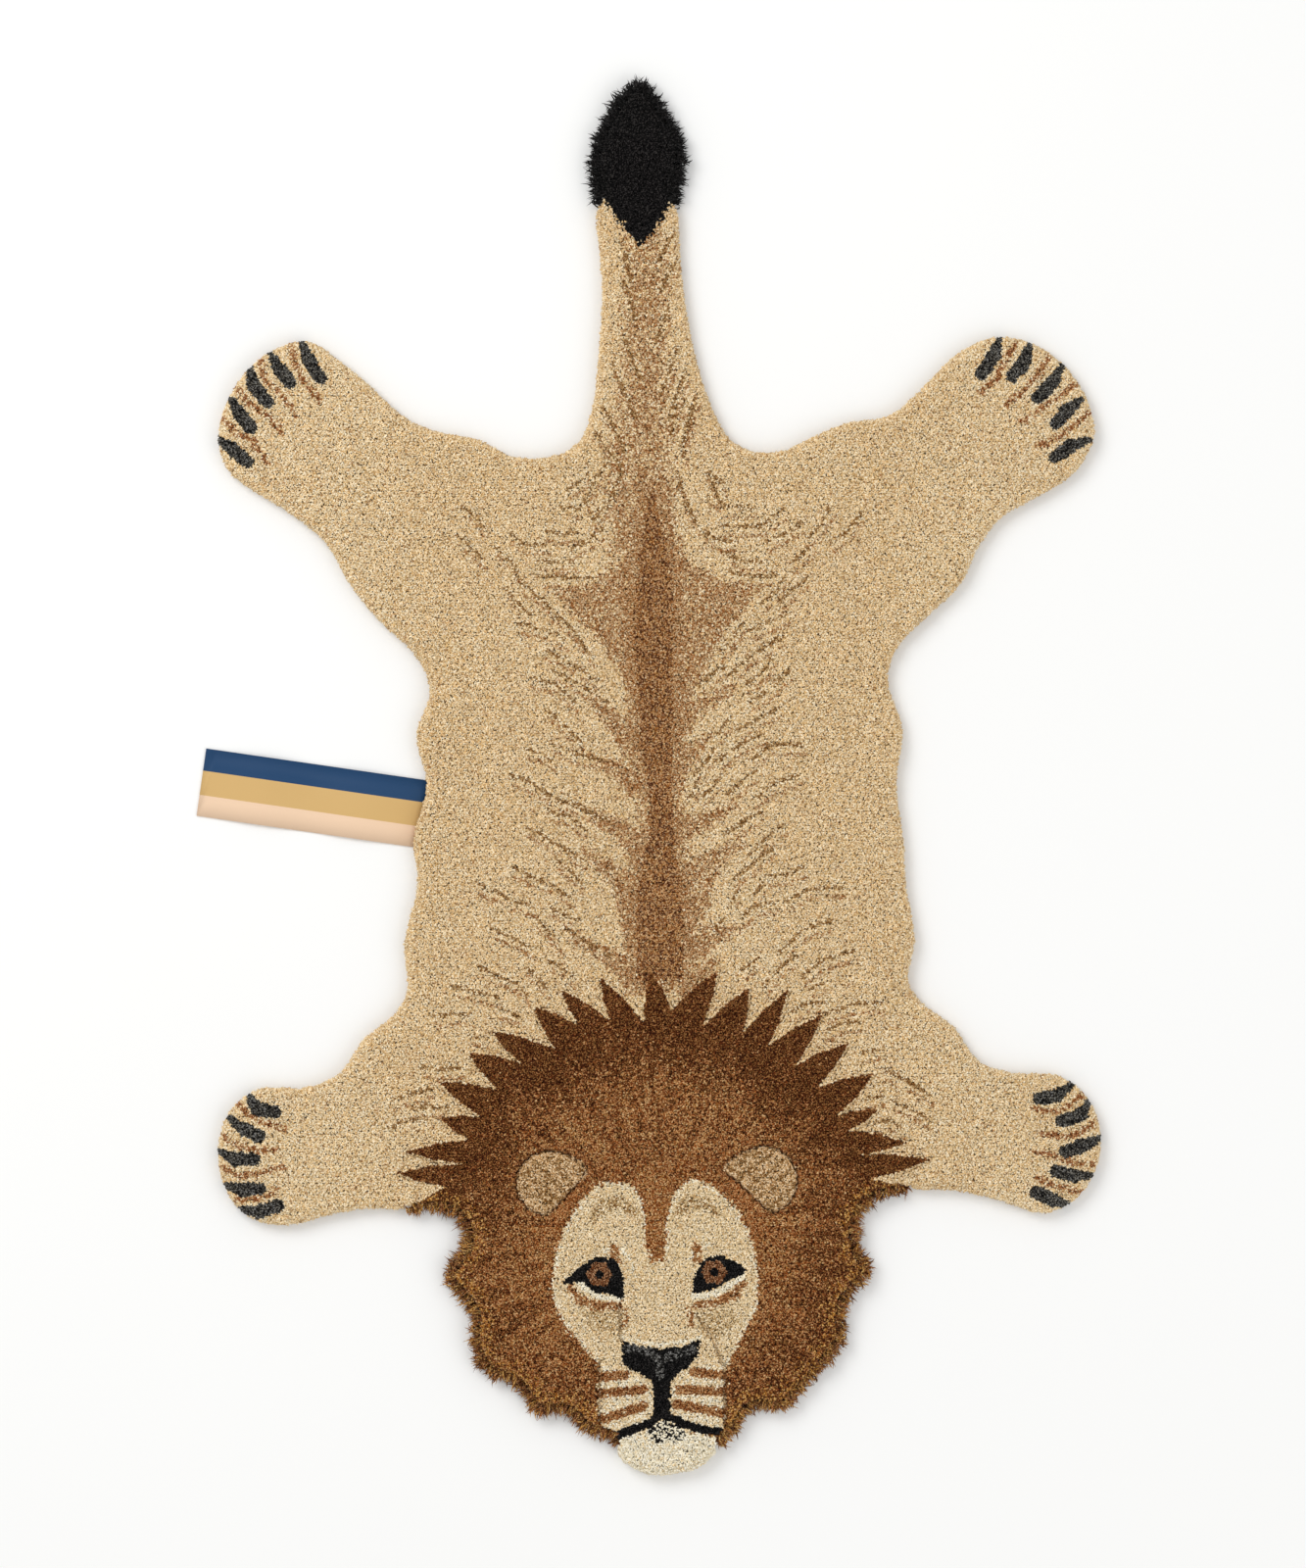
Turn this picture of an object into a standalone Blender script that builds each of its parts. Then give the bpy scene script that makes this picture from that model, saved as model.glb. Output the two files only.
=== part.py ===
"""A lion shaped kids rug: one hand-tufted rug in the outline of a lion's hide, lying flat on the floor.

The rug is a slab of cut pile on its backing cloth, 12 mm thick. It leans out over its own backing all
round, is sheared higher on the head and on the tuft of the tail, and has shaggy locks at the rim of the
mane and of the tuft. A woven cloth label is sewn on at the left flank and lies on the floor beside it.

Frame: metres, +Z up, the floor at z = 0, the origin at the middle of the underside, the tail towards
+Y and the head towards -Y. Lengths in the tables are in millimetres.
"""
import math

import bmesh
import bpy
from mathutils import Vector, geometry, noise

MM = 0.001

# Thickness and cross-section of the edge, from the floor up. The inset is measured from the outline.
PILE_TOP = 12.0
EDGE_PROFILE = (
    # ring               z    inset
    ("underside edge", 0.0, 4.0),
    ("pile at widest", 6.0, 0.0),
    ("shoulder", 10.2, 1.2),
    ("pile top", PILE_TOP, 4.6),
)

# Relief that the shears leave: the head and the tuft stand higher, grooves are cut round the ears.
HEAD_RISE = 1.6
TUFT_RISE = 1.6
STEP_WIDTH = 1.6
EAR_GROOVE_DEPTH = 2.6
EAR_GROOVE_HALF = 2.2
MUZZLE_RISE = 1.4
LUMP_SIZE = 26.0
BODY_LUMP = 0.35
HEAD_LUMP = 0.7

# Spacing of points along the plain edge, along the shaggy rim, and over the top.
EDGE_PITCH = 9.0
LOCK_PITCH = 3.2
BODY_GRID = 16.0
HEAD_GRID = 11.5
GRID_CLEARANCE = 0.42

# Locks at the shaggy rim: how far the outline lies out beyond the slab, and the locks' own sizes.
RIM_REACH = 5.5
RIM_STEEPNESS = 0.5
LOCK_LENGTH = 7.2
LOCK_LENGTH_SPREAD = 3.6
LOCK_LEAN = 0.22
LOCK_SWAY = 0.5
LOCK_WAIST = 0.62
LOCK_FLOOR = 0.4

# Outline, one row for each landmark from the tail to the chin, on both sides of the animal.
TAIL_TIP = ("tail tip", -13, 461)
TUFT_RIM = (
    # landmark        left x  left y  right x  right y
    ("tuft crown", -27, 452, 0, 449),
    ("tuft shoulder", -33, 442, 5, 441),
    ("tuft widest", -45, 414, 16, 420),
    ("tuft foot", -43, 380, 13, 380),
)
TAIL = (
    ("tail neck", -38, 321, 17, 316),
    ("tail waist", -41, 275, 25, 275),
    ("tail flare", -45, 243, 36, 243),
    ("tail corner", -54, 222, 47, 224),
)
HIND_LEG = (
    ("crotch", -73, 213, 66, 216),
    ("rump", -99, 214, 84, 218),
    ("rump side", -118, 224, 102, 227),
    ("thigh top", -143, 229, 126, 236),
    ("hock", -165, 237, 151, 240),
    ("shank", -189, 258, 175, 260),
    ("paw heel", -213, 278, 198, 282),
    ("toe 1", -234, 290, 221, 292),
    ("toe 2", -253, 285, 247, 288),
    ("toe 3", -273, 270, 271, 270),
    ("toe 4", -288, 244, 285, 245),
    ("toe 5", -292, 224, 288, 230),
    ("paw under", -283, 201, 276, 204),
    ("paw root", -266, 189, 253, 188),
    ("shank under", -242, 174, 224, 171),
    ("knee", -220, 155, 212, 155),
    ("thigh side", -205, 129, 200, 130),
    ("thigh back", -181, 100, 176, 106),
)
FLANK = (
    ("groin", -163, 84, 155, 83),
    ("waist", -152, 60, 151, 69),
    ("hip bulge", -161, 28, 161, 32),
    ("side dip", -154, -1, 157, 0),
    ("side", -163, -46, 162, -46),
    ("rib", -160, -63, 163, -69),
    ("chest", -169, -110, 169, -106),
    ("armpit", -168, -144, 166, -138),
)
FORE_LEG = (
    ("armpit bend", -174, -154, 172, -146),
    ("foreleg top", -196, -172, 195, -164),
    ("wrist bend", -211, -194, 212, -187),
    ("wrist", -229, -203, 234, -194),
    ("toe 1", -269, -206, 267, -197),
    ("toe 2", -284, -219, 282, -209),
    ("toe 3", -292, -246, 292, -236),
    ("toe 4", -286, -273, 288, -260),
    ("toe 5", -271, -290, 275, -278),
    ("paw under", -246, -295, 256, -287),
    ("wrist under", -218, -288, 226, -279),
    ("foreleg under", -193, -284, 202, -273),
)
MANE_RIM = (
    ("mane corner", -165, -286, 164, -273),
    ("hook", -134, -290, 135, -286),
    ("neck", -129, -301, 132, -303),
    ("lobe 1", -141, -329, 139, -324),
    ("dip 1", -125, -353, 124, -347),
    ("lobe 2", -124, -376, 122, -371),
    ("lobe 2 low", -112, -395, 108, -390),
    ("dip 2", -98, -399, 95, -405),
    ("lobe 3", -80, -419, 80, -417),
    ("dip 3", -64, -419, 62, -417),
    ("lobe 4", -47, -432, 52, -430),
    ("mane foot", -30, -439, 41, -440),
)
CHIN = (
    ("chin corner", -28, -446, 37, -446),
    ("chin side", -17, -456, 22, -457),
    ("chin bottom", -7, -460, 11, -459),
)
# The order from the tail to the chin, and whether each stretch that starts there is shaggy.
OUTLINE = (
    (TUFT_RIM, True), (TAIL, False), (HIND_LEG, False), (FLANK, False),
    (FORE_LEG, False), (MANE_RIM, True), (CHIN, False),
)

# The mane ends on the back in a crown of spikes. Each valley lies on the spike's side towards the spine.
SPINE_SPIKE = ("spine spike", -6, -126)
SPIKES = (
    # spike   left valley x, y   left tip x, y   right valley x, y   right tip x, y
    ("1", -10, -158, -39, -131, 8, -154, 39, -126),
    ("2", -33, -157, -65, -139, 28, -163, 59, -138),
    ("3", -54, -163, -83, -150, 54, -166, 85, -139),
    ("4", -70, -177, -111, -166, 74, -173, 108, -155),
    ("5", -93, -187, -126, -181, 90, -188, 125, -174),
    ("6", -108, -205, -146, -200, 104, -203, 142, -194),
    ("7", -119, -223, -145, -224, 118, -223, 145, -218),
    ("8", -126, -237, -168, -246, 126, -233, 164, -240),
    ("9", -130, -254, -174, -260, 135, -248, 179, -251),
)
LAST_VALLEY = ("last valley", -141, -269, 140, -264)
SPIKE_BULGE = 1.6
OUTSIDE = 60.0

# The lower edge of the tuft is a V that points down the tail.
TUFT_EDGE = ((-52, 383), (-36, 382), (-29, 371), (-13, 352), (-1, 366), (8, 380), (24, 383))
TUFT_TOP = 520.0

# Ears are round with a point towards the brow and a straight side along the face, and the muzzle has a
# soft pad on each side.
EARS = (
    # ear     centre x, y   radius  point's angle  straight side's distance, angle
    ("left", -73.0, -267.0, 21.5, 20.0, 14.2, -43.0),
    ("right", 69.0, -265.0, 22.5, 168.0, 12.8, 228.0),
)
EAR_POINT = 0.25
EAR_POINT_SHARPNESS = 7
EAR_STEPS = 24
MUZZLE_PADS = (
    # pad     centre x, y   half width  half height
    ("left", -21.5, -408.5, 16.5, 18.5),
    ("right", 25.0, -408.5, 17.0, 18.5),
)
PAD_STEPS = 14

# The label: a strip of woven cloth, tucked under the leaning pile of the flank and lying in low waves.
LABEL_LENGTH = 146.0
LABEL_WIDTH = 45.0
LABEL_THICKNESS = 1.0
LABEL_INNER_END = (-158.6, -22.8)
LABEL_TURN = math.radians(171.8)
LABEL_COLUMNS = 24
LABEL_ROWS = 4
LABEL_WAVE = 2.4
LABEL_WAVES = 2.0
LABEL_CROSSING = 12.0
LABEL_TUCK = 2.9

WOOL = {"color": (0.64, 0.48, 0.29, 1.0), "roughness": 0.95, "metallic": 0.0}
LABEL_CLOTH = {"color": (0.03, 0.08, 0.18, 1.0), "roughness": 0.8, "metallic": 0.0}


def clear_scene():
    """Starts from an empty scene."""
    for obj in list(bpy.data.objects):
        bpy.data.objects.remove(obj)


def principled(name, look):
    """A plain material of one colour."""
    material = bpy.data.materials.new(name)
    material.use_nodes = True
    shader = material.node_tree.nodes["Principled BSDF"]
    shader.inputs["Base Color"].default_value = look["color"]
    shader.inputs["Roughness"].default_value = look["roughness"]
    shader.inputs["Metallic"].default_value = look["metallic"]
    return material


def finish_object(name, bm, look):
    """Makes a named object of a bmesh that is in millimetres, and gives it its material."""
    bmesh.ops.scale(bm, vec=(MM, MM, MM), verts=bm.verts)
    mesh = bpy.data.meshes.new(name)
    bm.to_mesh(mesh)
    bm.free()
    obj = bpy.data.objects.new(name, mesh)
    obj.data.materials.append(principled(name, look))
    bpy.context.collection.objects.link(obj)
    return obj


# ---------------------------------------------------------------- outline

def landmark_loop():
    """The landmarks as one counter-clockwise loop, each with whether the rim that follows is shaggy."""
    left = [(Vector(row[1:3]), shaggy) for table, shaggy in OUTLINE for row in table]
    right = [(Vector(row[3:5]), shaggy) for table, shaggy in OUTLINE for row in table]
    up = []
    for (point, shaggy), (_, above) in zip(right[::-1], right[::-1][1:] + [right[0]]):
        up.append((point, shaggy and above))
    down = []
    for (point, shaggy), (_, below) in zip(left, left[1:] + [left[-1]]):
        down.append((point, shaggy and below))
    return [(Vector(TAIL_TIP[1:]), True)] + down + up


def tangent_at(before, here, after):
    """Direction of the smooth curve at a landmark, nearer to the chord on the closer side."""
    back, ahead = here - before, after - here
    return (back / back.length_squared + ahead / ahead.length_squared).normalized()


def smooth_outline():
    """Points and shagginess along a smooth closed curve through the landmarks."""
    loop = landmark_loop()
    count = len(loop)
    points, shag = [], []
    for i, (start, shaggy) in enumerate(loop):
        end = loop[(i + 1) % count][0]
        reach = (end - start).length / 3.0
        leave = tangent_at(loop[i - 1][0], start, end)
        arrive = tangent_at(start, end, loop[(i + 2) % count][0])
        steps = max(1, round(3.0 * reach / (LOCK_PITCH if shaggy else EDGE_PITCH)))
        curve = geometry.interpolate_bezier(
            start, start + leave * reach, end - arrive * reach, end, steps + 1)
        points += [point.to_2d() for point in curve[:-1]]
        shag += [shaggy] * steps
    return points, shag


def inward_normals(points):
    """Unit vectors that point into the loop at each of its points."""
    normals = []
    for i in range(len(points)):
        along = points[(i + 1) % len(points)] - points[i - 1]
        normals.append(Vector((-along.y, along.x)).normalized())
    return normals


def shag_shares(shag):
    """How shaggy the rim is at each point: 0 on plain stretches, 1 on shaggy ones, a half at their ends."""
    return [(float(here) + float(before)) / 2.0 for here, before in zip(shag, shag[-1:] + shag[:-1])]


# ---------------------------------------------------------------- relief

def spike_side(start, end):
    """One side of a spike from start up to, not including, end, swollen a little at its middle."""
    middle = (start + end) / 2.0
    across = Vector((end.y - start.y, start.x - end.x)).normalized()
    return [start, middle - across * SPIKE_BULGE]


def mane_border():
    """The mane's crown of spikes, from the left rim over the back to the right rim."""
    left, right = [Vector(MANE_RIM[0][1:3])], []
    left += [Vector(LAST_VALLEY[1:3])]
    for row in SPIKES[::-1]:
        left += [Vector(row[3:5]), Vector(row[1:3])]
    for row in SPIKES:
        right += [Vector(row[5:7]), Vector(row[7:9])]
    right += [Vector(LAST_VALLEY[3:5]), Vector(MANE_RIM[0][3:5])]
    corners = left + [Vector(SPINE_SPIKE[1:])] + right
    border = []
    for i, (start, end) in enumerate(zip(corners, corners[1:])):
        sides = spike_side(start, end)
        if i in (0, len(corners) - 2):
            sides = [start]
        border += sides
    return border + [corners[-1]]


def ear_loop(row, grow):
    """The outline of an ear, grown by an amount: a circle drawn out to a point and cut straight."""
    _, x, y, radius, point, side, side_turn = row
    loop = []
    for i in range(EAR_STEPS):
        angle = math.tau * i / EAR_STEPS + math.radians(point)
        lead = max(0.0, math.cos(angle - math.radians(point))) ** EAR_POINT_SHARPNESS
        reach = (radius + grow) * (1.0 + EAR_POINT * lead)
        towards_side = math.cos(angle - math.radians(side_turn))
        if towards_side > 0.0:
            reach = min(reach, (side + grow) / towards_side)
        loop.append(Vector((x, y)) + reach * Vector((math.cos(angle), math.sin(angle))))
    return loop


def oval_loop(centre, half_width, half_height, share, steps):
    """An oval loop round a muzzle pad, at a share of its full size."""
    angles = [math.tau * i / steps for i in range(steps)]
    return [centre + share * Vector((half_width * math.cos(a), half_height * math.sin(a))) for a in angles]


def distance_to(path, spot, closed):
    """Shortest distance from a spot to a path."""
    ends = path[1:] + path[:1] if closed else path[1:]
    best = math.inf
    for start, end in zip(path, ends):
        near, share = geometry.intersect_point_line(spot, start, end)
        near = start.lerp(end, min(1.0, max(0.0, share)))
        best = min(best, (near.to_2d() - spot).length)
    return best


def is_inside(loop, spot):
    """Whether a spot lies inside a closed loop."""
    inside = False
    for start, end in zip(loop, loop[1:] + loop[:1]):
        if (start.y > spot.y) != (end.y > spot.y):
            crossing = start.x + (spot.y - start.y) * (end.x - start.x) / (end.y - start.y)
            inside ^= spot.x < crossing
    return inside


def raised_share(border, region, spot):
    """1 on a raised region and at its border, falling to 0 over the step outside it."""
    if is_inside(region, spot):
        return 1.0
    return max(0.0, 1.0 - distance_to(border, spot, closed=False) / STEP_WIDTH)


class Relief:
    """Height of the pile over the top of the rug, and the loops that the height needs as edges."""

    def __init__(self):
        self.mane = mane_border()
        left, right = self.mane[0], self.mane[-1]
        below = min(row[2] for row in CHIN) - OUTSIDE
        self.head = self.mane + [
            Vector((right.x + OUTSIDE, right.y - STEP_WIDTH)), Vector((right.x + OUTSIDE, below)),
            Vector((left.x - OUTSIDE, below)), Vector((left.x - OUTSIDE, left.y - STEP_WIDTH))]
        self.tuft_edge = [Vector(point) for point in TUFT_EDGE]
        self.tuft = self.tuft_edge + [
            Vector((self.tuft_edge[-1].x, TUFT_TOP)), Vector((self.tuft_edge[0].x, TUFT_TOP))]
        self.ears = [ear_loop(row, 0.0) for row in EARS]

    def height(self, spot):
        """Height of the pile's top at a spot."""
        head = raised_share(self.mane, self.head, spot)
        tuft = raised_share(self.tuft_edge, self.tuft, spot)
        lump = noise.noise(Vector((spot.x, spot.y, 0.0)) / LUMP_SIZE)
        z = PILE_TOP + HEAD_RISE * head + TUFT_RISE * tuft
        z += lump * (BODY_LUMP + (HEAD_LUMP - BODY_LUMP) * max(head, tuft))
        for ear in self.ears:
            cut = 1.0 - distance_to(ear, spot, closed=True) / EAR_GROOVE_HALF
            z -= EAR_GROOVE_DEPTH * max(0.0, cut)
        for _, x, y, half_width, half_height in MUZZLE_PADS:
            out = Vector(((spot.x - x) / half_width, (spot.y - y) / half_height)).length
            z += MUZZLE_RISE * math.sqrt(max(0.0, 1.0 - out * out))
        return z

    def feature_paths(self):
        """Paths that the top's edges follow, each with whether it is closed."""
        paths = [(self.mane[2:-2], False), (step_foot(self.mane)[2:-2], False)]
        paths += [(self.tuft_edge[2:-2], False), (step_foot(self.tuft_edge)[2:-2], False)]
        for row in EARS:
            for grow in (-EAR_GROOVE_HALF, 0.0, EAR_GROOVE_HALF):
                paths.append((ear_loop(row, grow), True))
        for _, x, y, half_width, half_height in MUZZLE_PADS:
            paths += [(oval_loop(Vector((x, y)), half_width, half_height, share, PAD_STEPS), True)
                      for share in (1.0, 0.85, 0.5)]
        return paths


def step_foot(border):
    """The foot of a raised region's step: its border moved out by the width of the step."""
    foot = []
    for before, here, after in zip(border, border[1:], border[2:]):
        into, out_of = (here - before).normalized(), (after - here).normalized()
        along = (into + out_of).normalized()
        outward = Vector((-along.y, along.x))
        widen = 1.0 / max(0.45, outward.dot(Vector((-into.y, into.x))))
        foot.append(here + outward * STEP_WIDTH * widen)
    return [border[0]] + foot + [border[-1]]


# ---------------------------------------------------------------- the slab

def grid_spots(loop, paths):
    """Spots over the top, closer together on the head, clear of the edge and of the feature paths."""
    low_x, high_x = min(p.x for p in loop), max(p.x for p in loop)
    low_y, high_y = min(p.y for p in loop), max(p.y for p in loop)
    head_top = SPINE_SPIKE[2]
    spots = []
    y = low_y
    row = 0
    while y < high_y:
        pitch = HEAD_GRID if y < head_top else BODY_GRID
        x = low_x + (pitch / 2.0 if row % 2 else 0.0)
        while x < high_x:
            spot = Vector((x, y))
            clear = GRID_CLEARANCE * pitch
            if is_inside(loop, spot) and distance_to(loop, spot, closed=True) > clear:
                if all(distance_to(path, spot, closed) > clear for path, closed in paths):
                    spots.append(spot)
            x += pitch
        y += pitch * math.sqrt(0.75)
        row += 1
    return spots


def fill_loop(bm, ring, extra, paths, height, flip):
    """Fills a ring of vertices with triangles that also use the extra spots and the feature paths."""
    coords = [vert.co.to_2d() for vert in ring]
    size = len(coords)
    edges = [(i, (i + 1) % size) for i in range(size)]
    for path, closed in paths:
        first = len(coords)
        coords += path
        edges += [(i, i + 1) for i in range(first, len(coords) - 1)]
        if closed:
            edges.append((len(coords) - 1, first))
    coords += extra
    found, _, faces, origins, _, _ = geometry.delaunay_2d_cdt(coords, edges, [], 1, 1e-4)
    verts = []
    for spot, sources in zip(found, origins):
        rim = [i for i in sources if i < size]
        if rim:
            verts.append(ring[rim[0]])
        else:
            verts.append(bm.verts.new((spot.x, spot.y, height(spot))))
    for face in faces:
        corners = [verts[i] for i in face]
        bm.faces.new(corners[::-1] if flip else corners)


def edge_rings(bm, points, shag, relief):
    """The rings of vertices up the edge of the rug, following the edge profile.

    The shaggy rim is steeper than the plain edge, and draws in from the outline to leave room for locks.
    """
    normals = inward_normals(points)
    rings = []
    for _, z, inset in EDGE_PROFILE:
        ring = []
        for point, normal, share in zip(points, normals, shag_shares(shag)):
            draw_in = inset * (1.0 - RIM_STEEPNESS * share) + RIM_REACH * share
            spot = point + normal * draw_in
            lift = (relief.height(spot) - PILE_TOP) * z / PILE_TOP
            ring.append(bm.verts.new((spot.x, spot.y, z + lift)))
        rings.append(ring)
    return rings


def grow_lock(bm, face, outward, index):
    """Draws a face of the edge out into a four-sided lock of wool that ends in a point."""
    sway = noise.noise(Vector((index * 1.7, 0.3, 0.0)))
    stretch = noise.noise(Vector((0.6, index * 2.3, 0.0)))
    along = Vector((-outward.y, outward.x, 0.0))
    length = LOCK_LENGTH + LOCK_LENGTH_SPREAD * stretch
    way = (outward + along * LOCK_SWAY * sway).normalized()
    middle = face.calc_center_median()
    waist = bmesh.ops.extrude_discrete_faces(bm, faces=[face])["faces"][0]
    centre = middle + way * length * 0.5
    for vert in waist.verts:
        vert.co = centre + (vert.co - middle) * LOCK_WAIST
        vert.co.z = max(LOCK_FLOOR, vert.co.z)
    point = bmesh.ops.extrude_discrete_faces(bm, faces=[waist])["faces"][0]
    tip = middle + way * length
    tip.z = max(LOCK_FLOOR, middle.z - length * LOCK_LEAN)
    bmesh.ops.pointmerge(bm, verts=list(point.verts), merge_co=tip)


def build_rug():
    """The rug: edge rings, its flat underside, its pile top with the relief, and the locks at its rim."""
    points, shag = smooth_outline()
    relief = Relief()
    bm = bmesh.new()
    rings = edge_rings(bm, points, shag, relief)
    count = len(points)
    strips = []
    for low, high in zip(rings, rings[1:]):
        strip = []
        for i in range(count):
            j = (i + 1) % count
            strip.append(bm.faces.new((low[i], low[j], high[j], high[i])))
        strips.append(strip)
    paths = relief.feature_paths()
    top_loop = [vert.co.to_2d() for vert in rings[-1]]
    fill_loop(bm, rings[0], [], [], lambda spot: 0.0, flip=True)
    fill_loop(bm, rings[-1], grid_spots(top_loop, paths), paths, relief.height, flip=False)
    normals = inward_normals(points)
    for i in range(count):
        if shag[i]:
            outward = -(normals[i] + normals[(i + 1) % count]).normalized().to_3d()
            grow_lock(bm, strips[i % 2][i], outward, i)
    bmesh.ops.triangulate(bm, faces=bm.faces)
    return finish_object("tufted_rug", bm, WOOL)


# ---------------------------------------------------------------- the label

def label_spot(along, across, flank):
    """Place of a point of the label on the floor plan, its inner end following the rug's edge."""
    axis = Vector((math.cos(LABEL_TURN), math.sin(LABEL_TURN)))
    side = Vector((axis.y, -axis.x))
    inner = Vector(LABEL_INNER_END) + side * across
    outer = inner + axis * LABEL_LENGTH
    start = flank_crossing(inner - axis * LABEL_CROSSING, outer, flank)
    return start.lerp(outer, along)


def flank_crossing(start, end, flank):
    """Where a line across the rug's edge passes the tuck line, which lies just inside the outline."""
    for first, second in zip(flank, flank[1:]):
        hit = geometry.intersect_line_line_2d(start, end, first, second)
        if hit:
            return hit
    return start


def build_label():
    """The label: a thin strip of cloth in low waves, its inner end tucked under the leaning pile."""
    points, _ = smooth_outline()
    tuck = [point + normal * LABEL_TUCK for point, normal in zip(points, inward_normals(points))]
    flank = [point for point in tuck if point.x < 0 and abs(point.y) < LABEL_LENGTH]
    bm = bmesh.new()
    grid = []
    for row in range(LABEL_ROWS + 1):
        across = LABEL_WIDTH * (row / LABEL_ROWS - 0.5)
        line = []
        for column in range(LABEL_COLUMNS + 1):
            along = column / LABEL_COLUMNS
            spot = label_spot(along, across, flank)
            swell = math.sin(math.pi * along) * (1.0 - math.cos(math.tau * LABEL_WAVES * along)) / 2.0
            line.append(bm.verts.new((spot.x, spot.y, LABEL_WAVE * swell)))
        grid.append(line)
    for low, high in zip(grid, grid[1:]):
        for i in range(LABEL_COLUMNS):
            bm.faces.new((low[i], low[i + 1], high[i + 1], high[i]))
    bmesh.ops.recalc_face_normals(bm, faces=bm.faces)
    if sum(face.normal.z for face in bm.faces) > 0:
        bmesh.ops.reverse_faces(bm, faces=bm.faces)
    skin = bmesh.ops.extrude_face_region(bm, geom=list(bm.faces), use_keep_orig=True)["geom"]
    raised = [item for item in skin if isinstance(item, bmesh.types.BMVert)]
    bmesh.ops.translate(bm, vec=(0.0, 0.0, LABEL_THICKNESS), verts=raised)
    bmesh.ops.recalc_face_normals(bm, faces=bm.faces)
    bmesh.ops.triangulate(bm, faces=bm.faces)
    return finish_object("label", bm, LABEL_CLOTH)


clear_scene()
build_rug()
build_label()
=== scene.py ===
# %% [markdown]
# # A lion shaped kids rug, tuft by tuft
#
# The real rug is hand tufted: a tufting tool shoots woollen yarn through a stretched backing cloth, one
# small tuft beside the next. The ends are cut and sheared level, and fine lines are carved with shears.
# Nothing is printed on it, so every picture on it is only a choice of yarn.
#
# This lesson follows the same order. The solid model gives the outline, the thickness and the relief.
# We plant nearly seventy thousand little tufts on it, choose a yarn for each of their strands from a drawn
# plan, grow the shaggy rim of the mane, and lay a ground underneath, darkened as painted shade. The woven
# label comes last.

# %% Load the imported model
import math

import bmesh
import bpy
import numpy as np
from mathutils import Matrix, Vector, noise
from mathutils.bvhtree import BVHTree


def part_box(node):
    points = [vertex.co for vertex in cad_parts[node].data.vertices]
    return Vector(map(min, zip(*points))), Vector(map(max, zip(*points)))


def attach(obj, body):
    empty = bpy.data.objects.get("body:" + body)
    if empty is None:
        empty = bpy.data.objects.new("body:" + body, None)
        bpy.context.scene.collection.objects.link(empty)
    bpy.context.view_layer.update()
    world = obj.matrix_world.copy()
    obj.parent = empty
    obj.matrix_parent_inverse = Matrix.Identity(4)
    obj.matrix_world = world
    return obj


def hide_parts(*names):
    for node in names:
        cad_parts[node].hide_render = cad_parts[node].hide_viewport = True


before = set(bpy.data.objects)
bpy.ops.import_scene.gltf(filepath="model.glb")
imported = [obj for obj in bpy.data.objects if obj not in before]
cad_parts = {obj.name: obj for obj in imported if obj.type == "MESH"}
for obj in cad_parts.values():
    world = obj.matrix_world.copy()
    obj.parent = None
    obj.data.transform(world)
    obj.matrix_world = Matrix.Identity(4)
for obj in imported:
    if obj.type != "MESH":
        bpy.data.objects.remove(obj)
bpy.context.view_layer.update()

# Keeps divisions and comparisons off zero.
TINY = 0.01
MM = 0.001
rug_low, rug_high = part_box("tufted_rug")
print("rug", [round((b - a) / MM, 1) for a, b in zip(rug_low, rug_high)], "mm")

# %% [markdown]
# ## Camera, floor and light
#
# The rug is seen from straight above, so the camera looks down from far away with a long lens: the sides
# then stay nearly hidden, as in a studio picture taken from a gantry. The lens follows from the height of
# the picture on the floor, which is how a photographer would choose it too.

# %% Camera straight above
PICTURE_HEIGHT = 1600
MM_PER_PIXEL = 0.6479
SENSOR_SIZE = 36.0
CAMERA_HEIGHT = 6.0
PICTURE_CENTRE = (-4.2 * MM, -3.2 * MM)
WIDEST_AT = 6 * MM

camera_data = bpy.data.cameras.new("camera")
camera_data.sensor_width = SENSOR_SIZE
floor_height = PICTURE_HEIGHT * MM_PER_PIXEL * MM
camera_data.lens = SENSOR_SIZE * CAMERA_HEIGHT / floor_height
camera = bpy.data.objects.new("camera", camera_data)
camera.location = (*PICTURE_CENTRE, WIDEST_AT + CAMERA_HEIGHT)
bpy.context.collection.objects.link(camera)
bpy.context.scene.camera = camera
bpy.context.scene.view_settings.view_transform = "Standard"
print("lens", round(camera_data.lens), "mm, picture", round(floor_height, 3), "m high")


# %% Colour and object helpers
def linear(hex_colour):
    """An sRGB hex colour as linear red, green and blue."""
    srgb = np.array([int(hex_colour[i:i + 2], 16) for i in (0, 2, 4)]) / 255.0
    return np.where(srgb <= 0.04045, srgb / 12.92, ((srgb + 0.055) / 1.055) ** 2.4)


def rgba(hex_colour):
    """A hex colour as the four linear values that a colour socket takes."""
    return (*linear(hex_colour), 1.0)


def object_of(name, bm, *materials):
    """Turns a bmesh into a named object with its materials, and frees the bmesh."""
    mesh = bpy.data.meshes.new(name)
    bm.to_mesh(mesh)
    bm.free()
    for material in materials:
        mesh.materials.append(material)
    piece = bpy.data.objects.new(name, mesh)
    bpy.context.collection.objects.link(piece)
    return piece


print("half grey 808080 is", round(float(linear("808080")[0]), 3), "in linear light")


# %% Node helpers
def add_node(tree, kind, settings=None, inputs=None):
    """Adds a node, sets its properties, and fills or links its inputs."""
    node = tree.nodes.new(kind)
    for name, value in (settings or {}).items():
        setattr(node, name, value)
    for name, value in (inputs or {}).items():
        if isinstance(value, bpy.types.NodeSocket):
            tree.links.new(value, node.inputs[name])
        else:
            node.inputs[name].default_value = value
    return node


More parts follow.
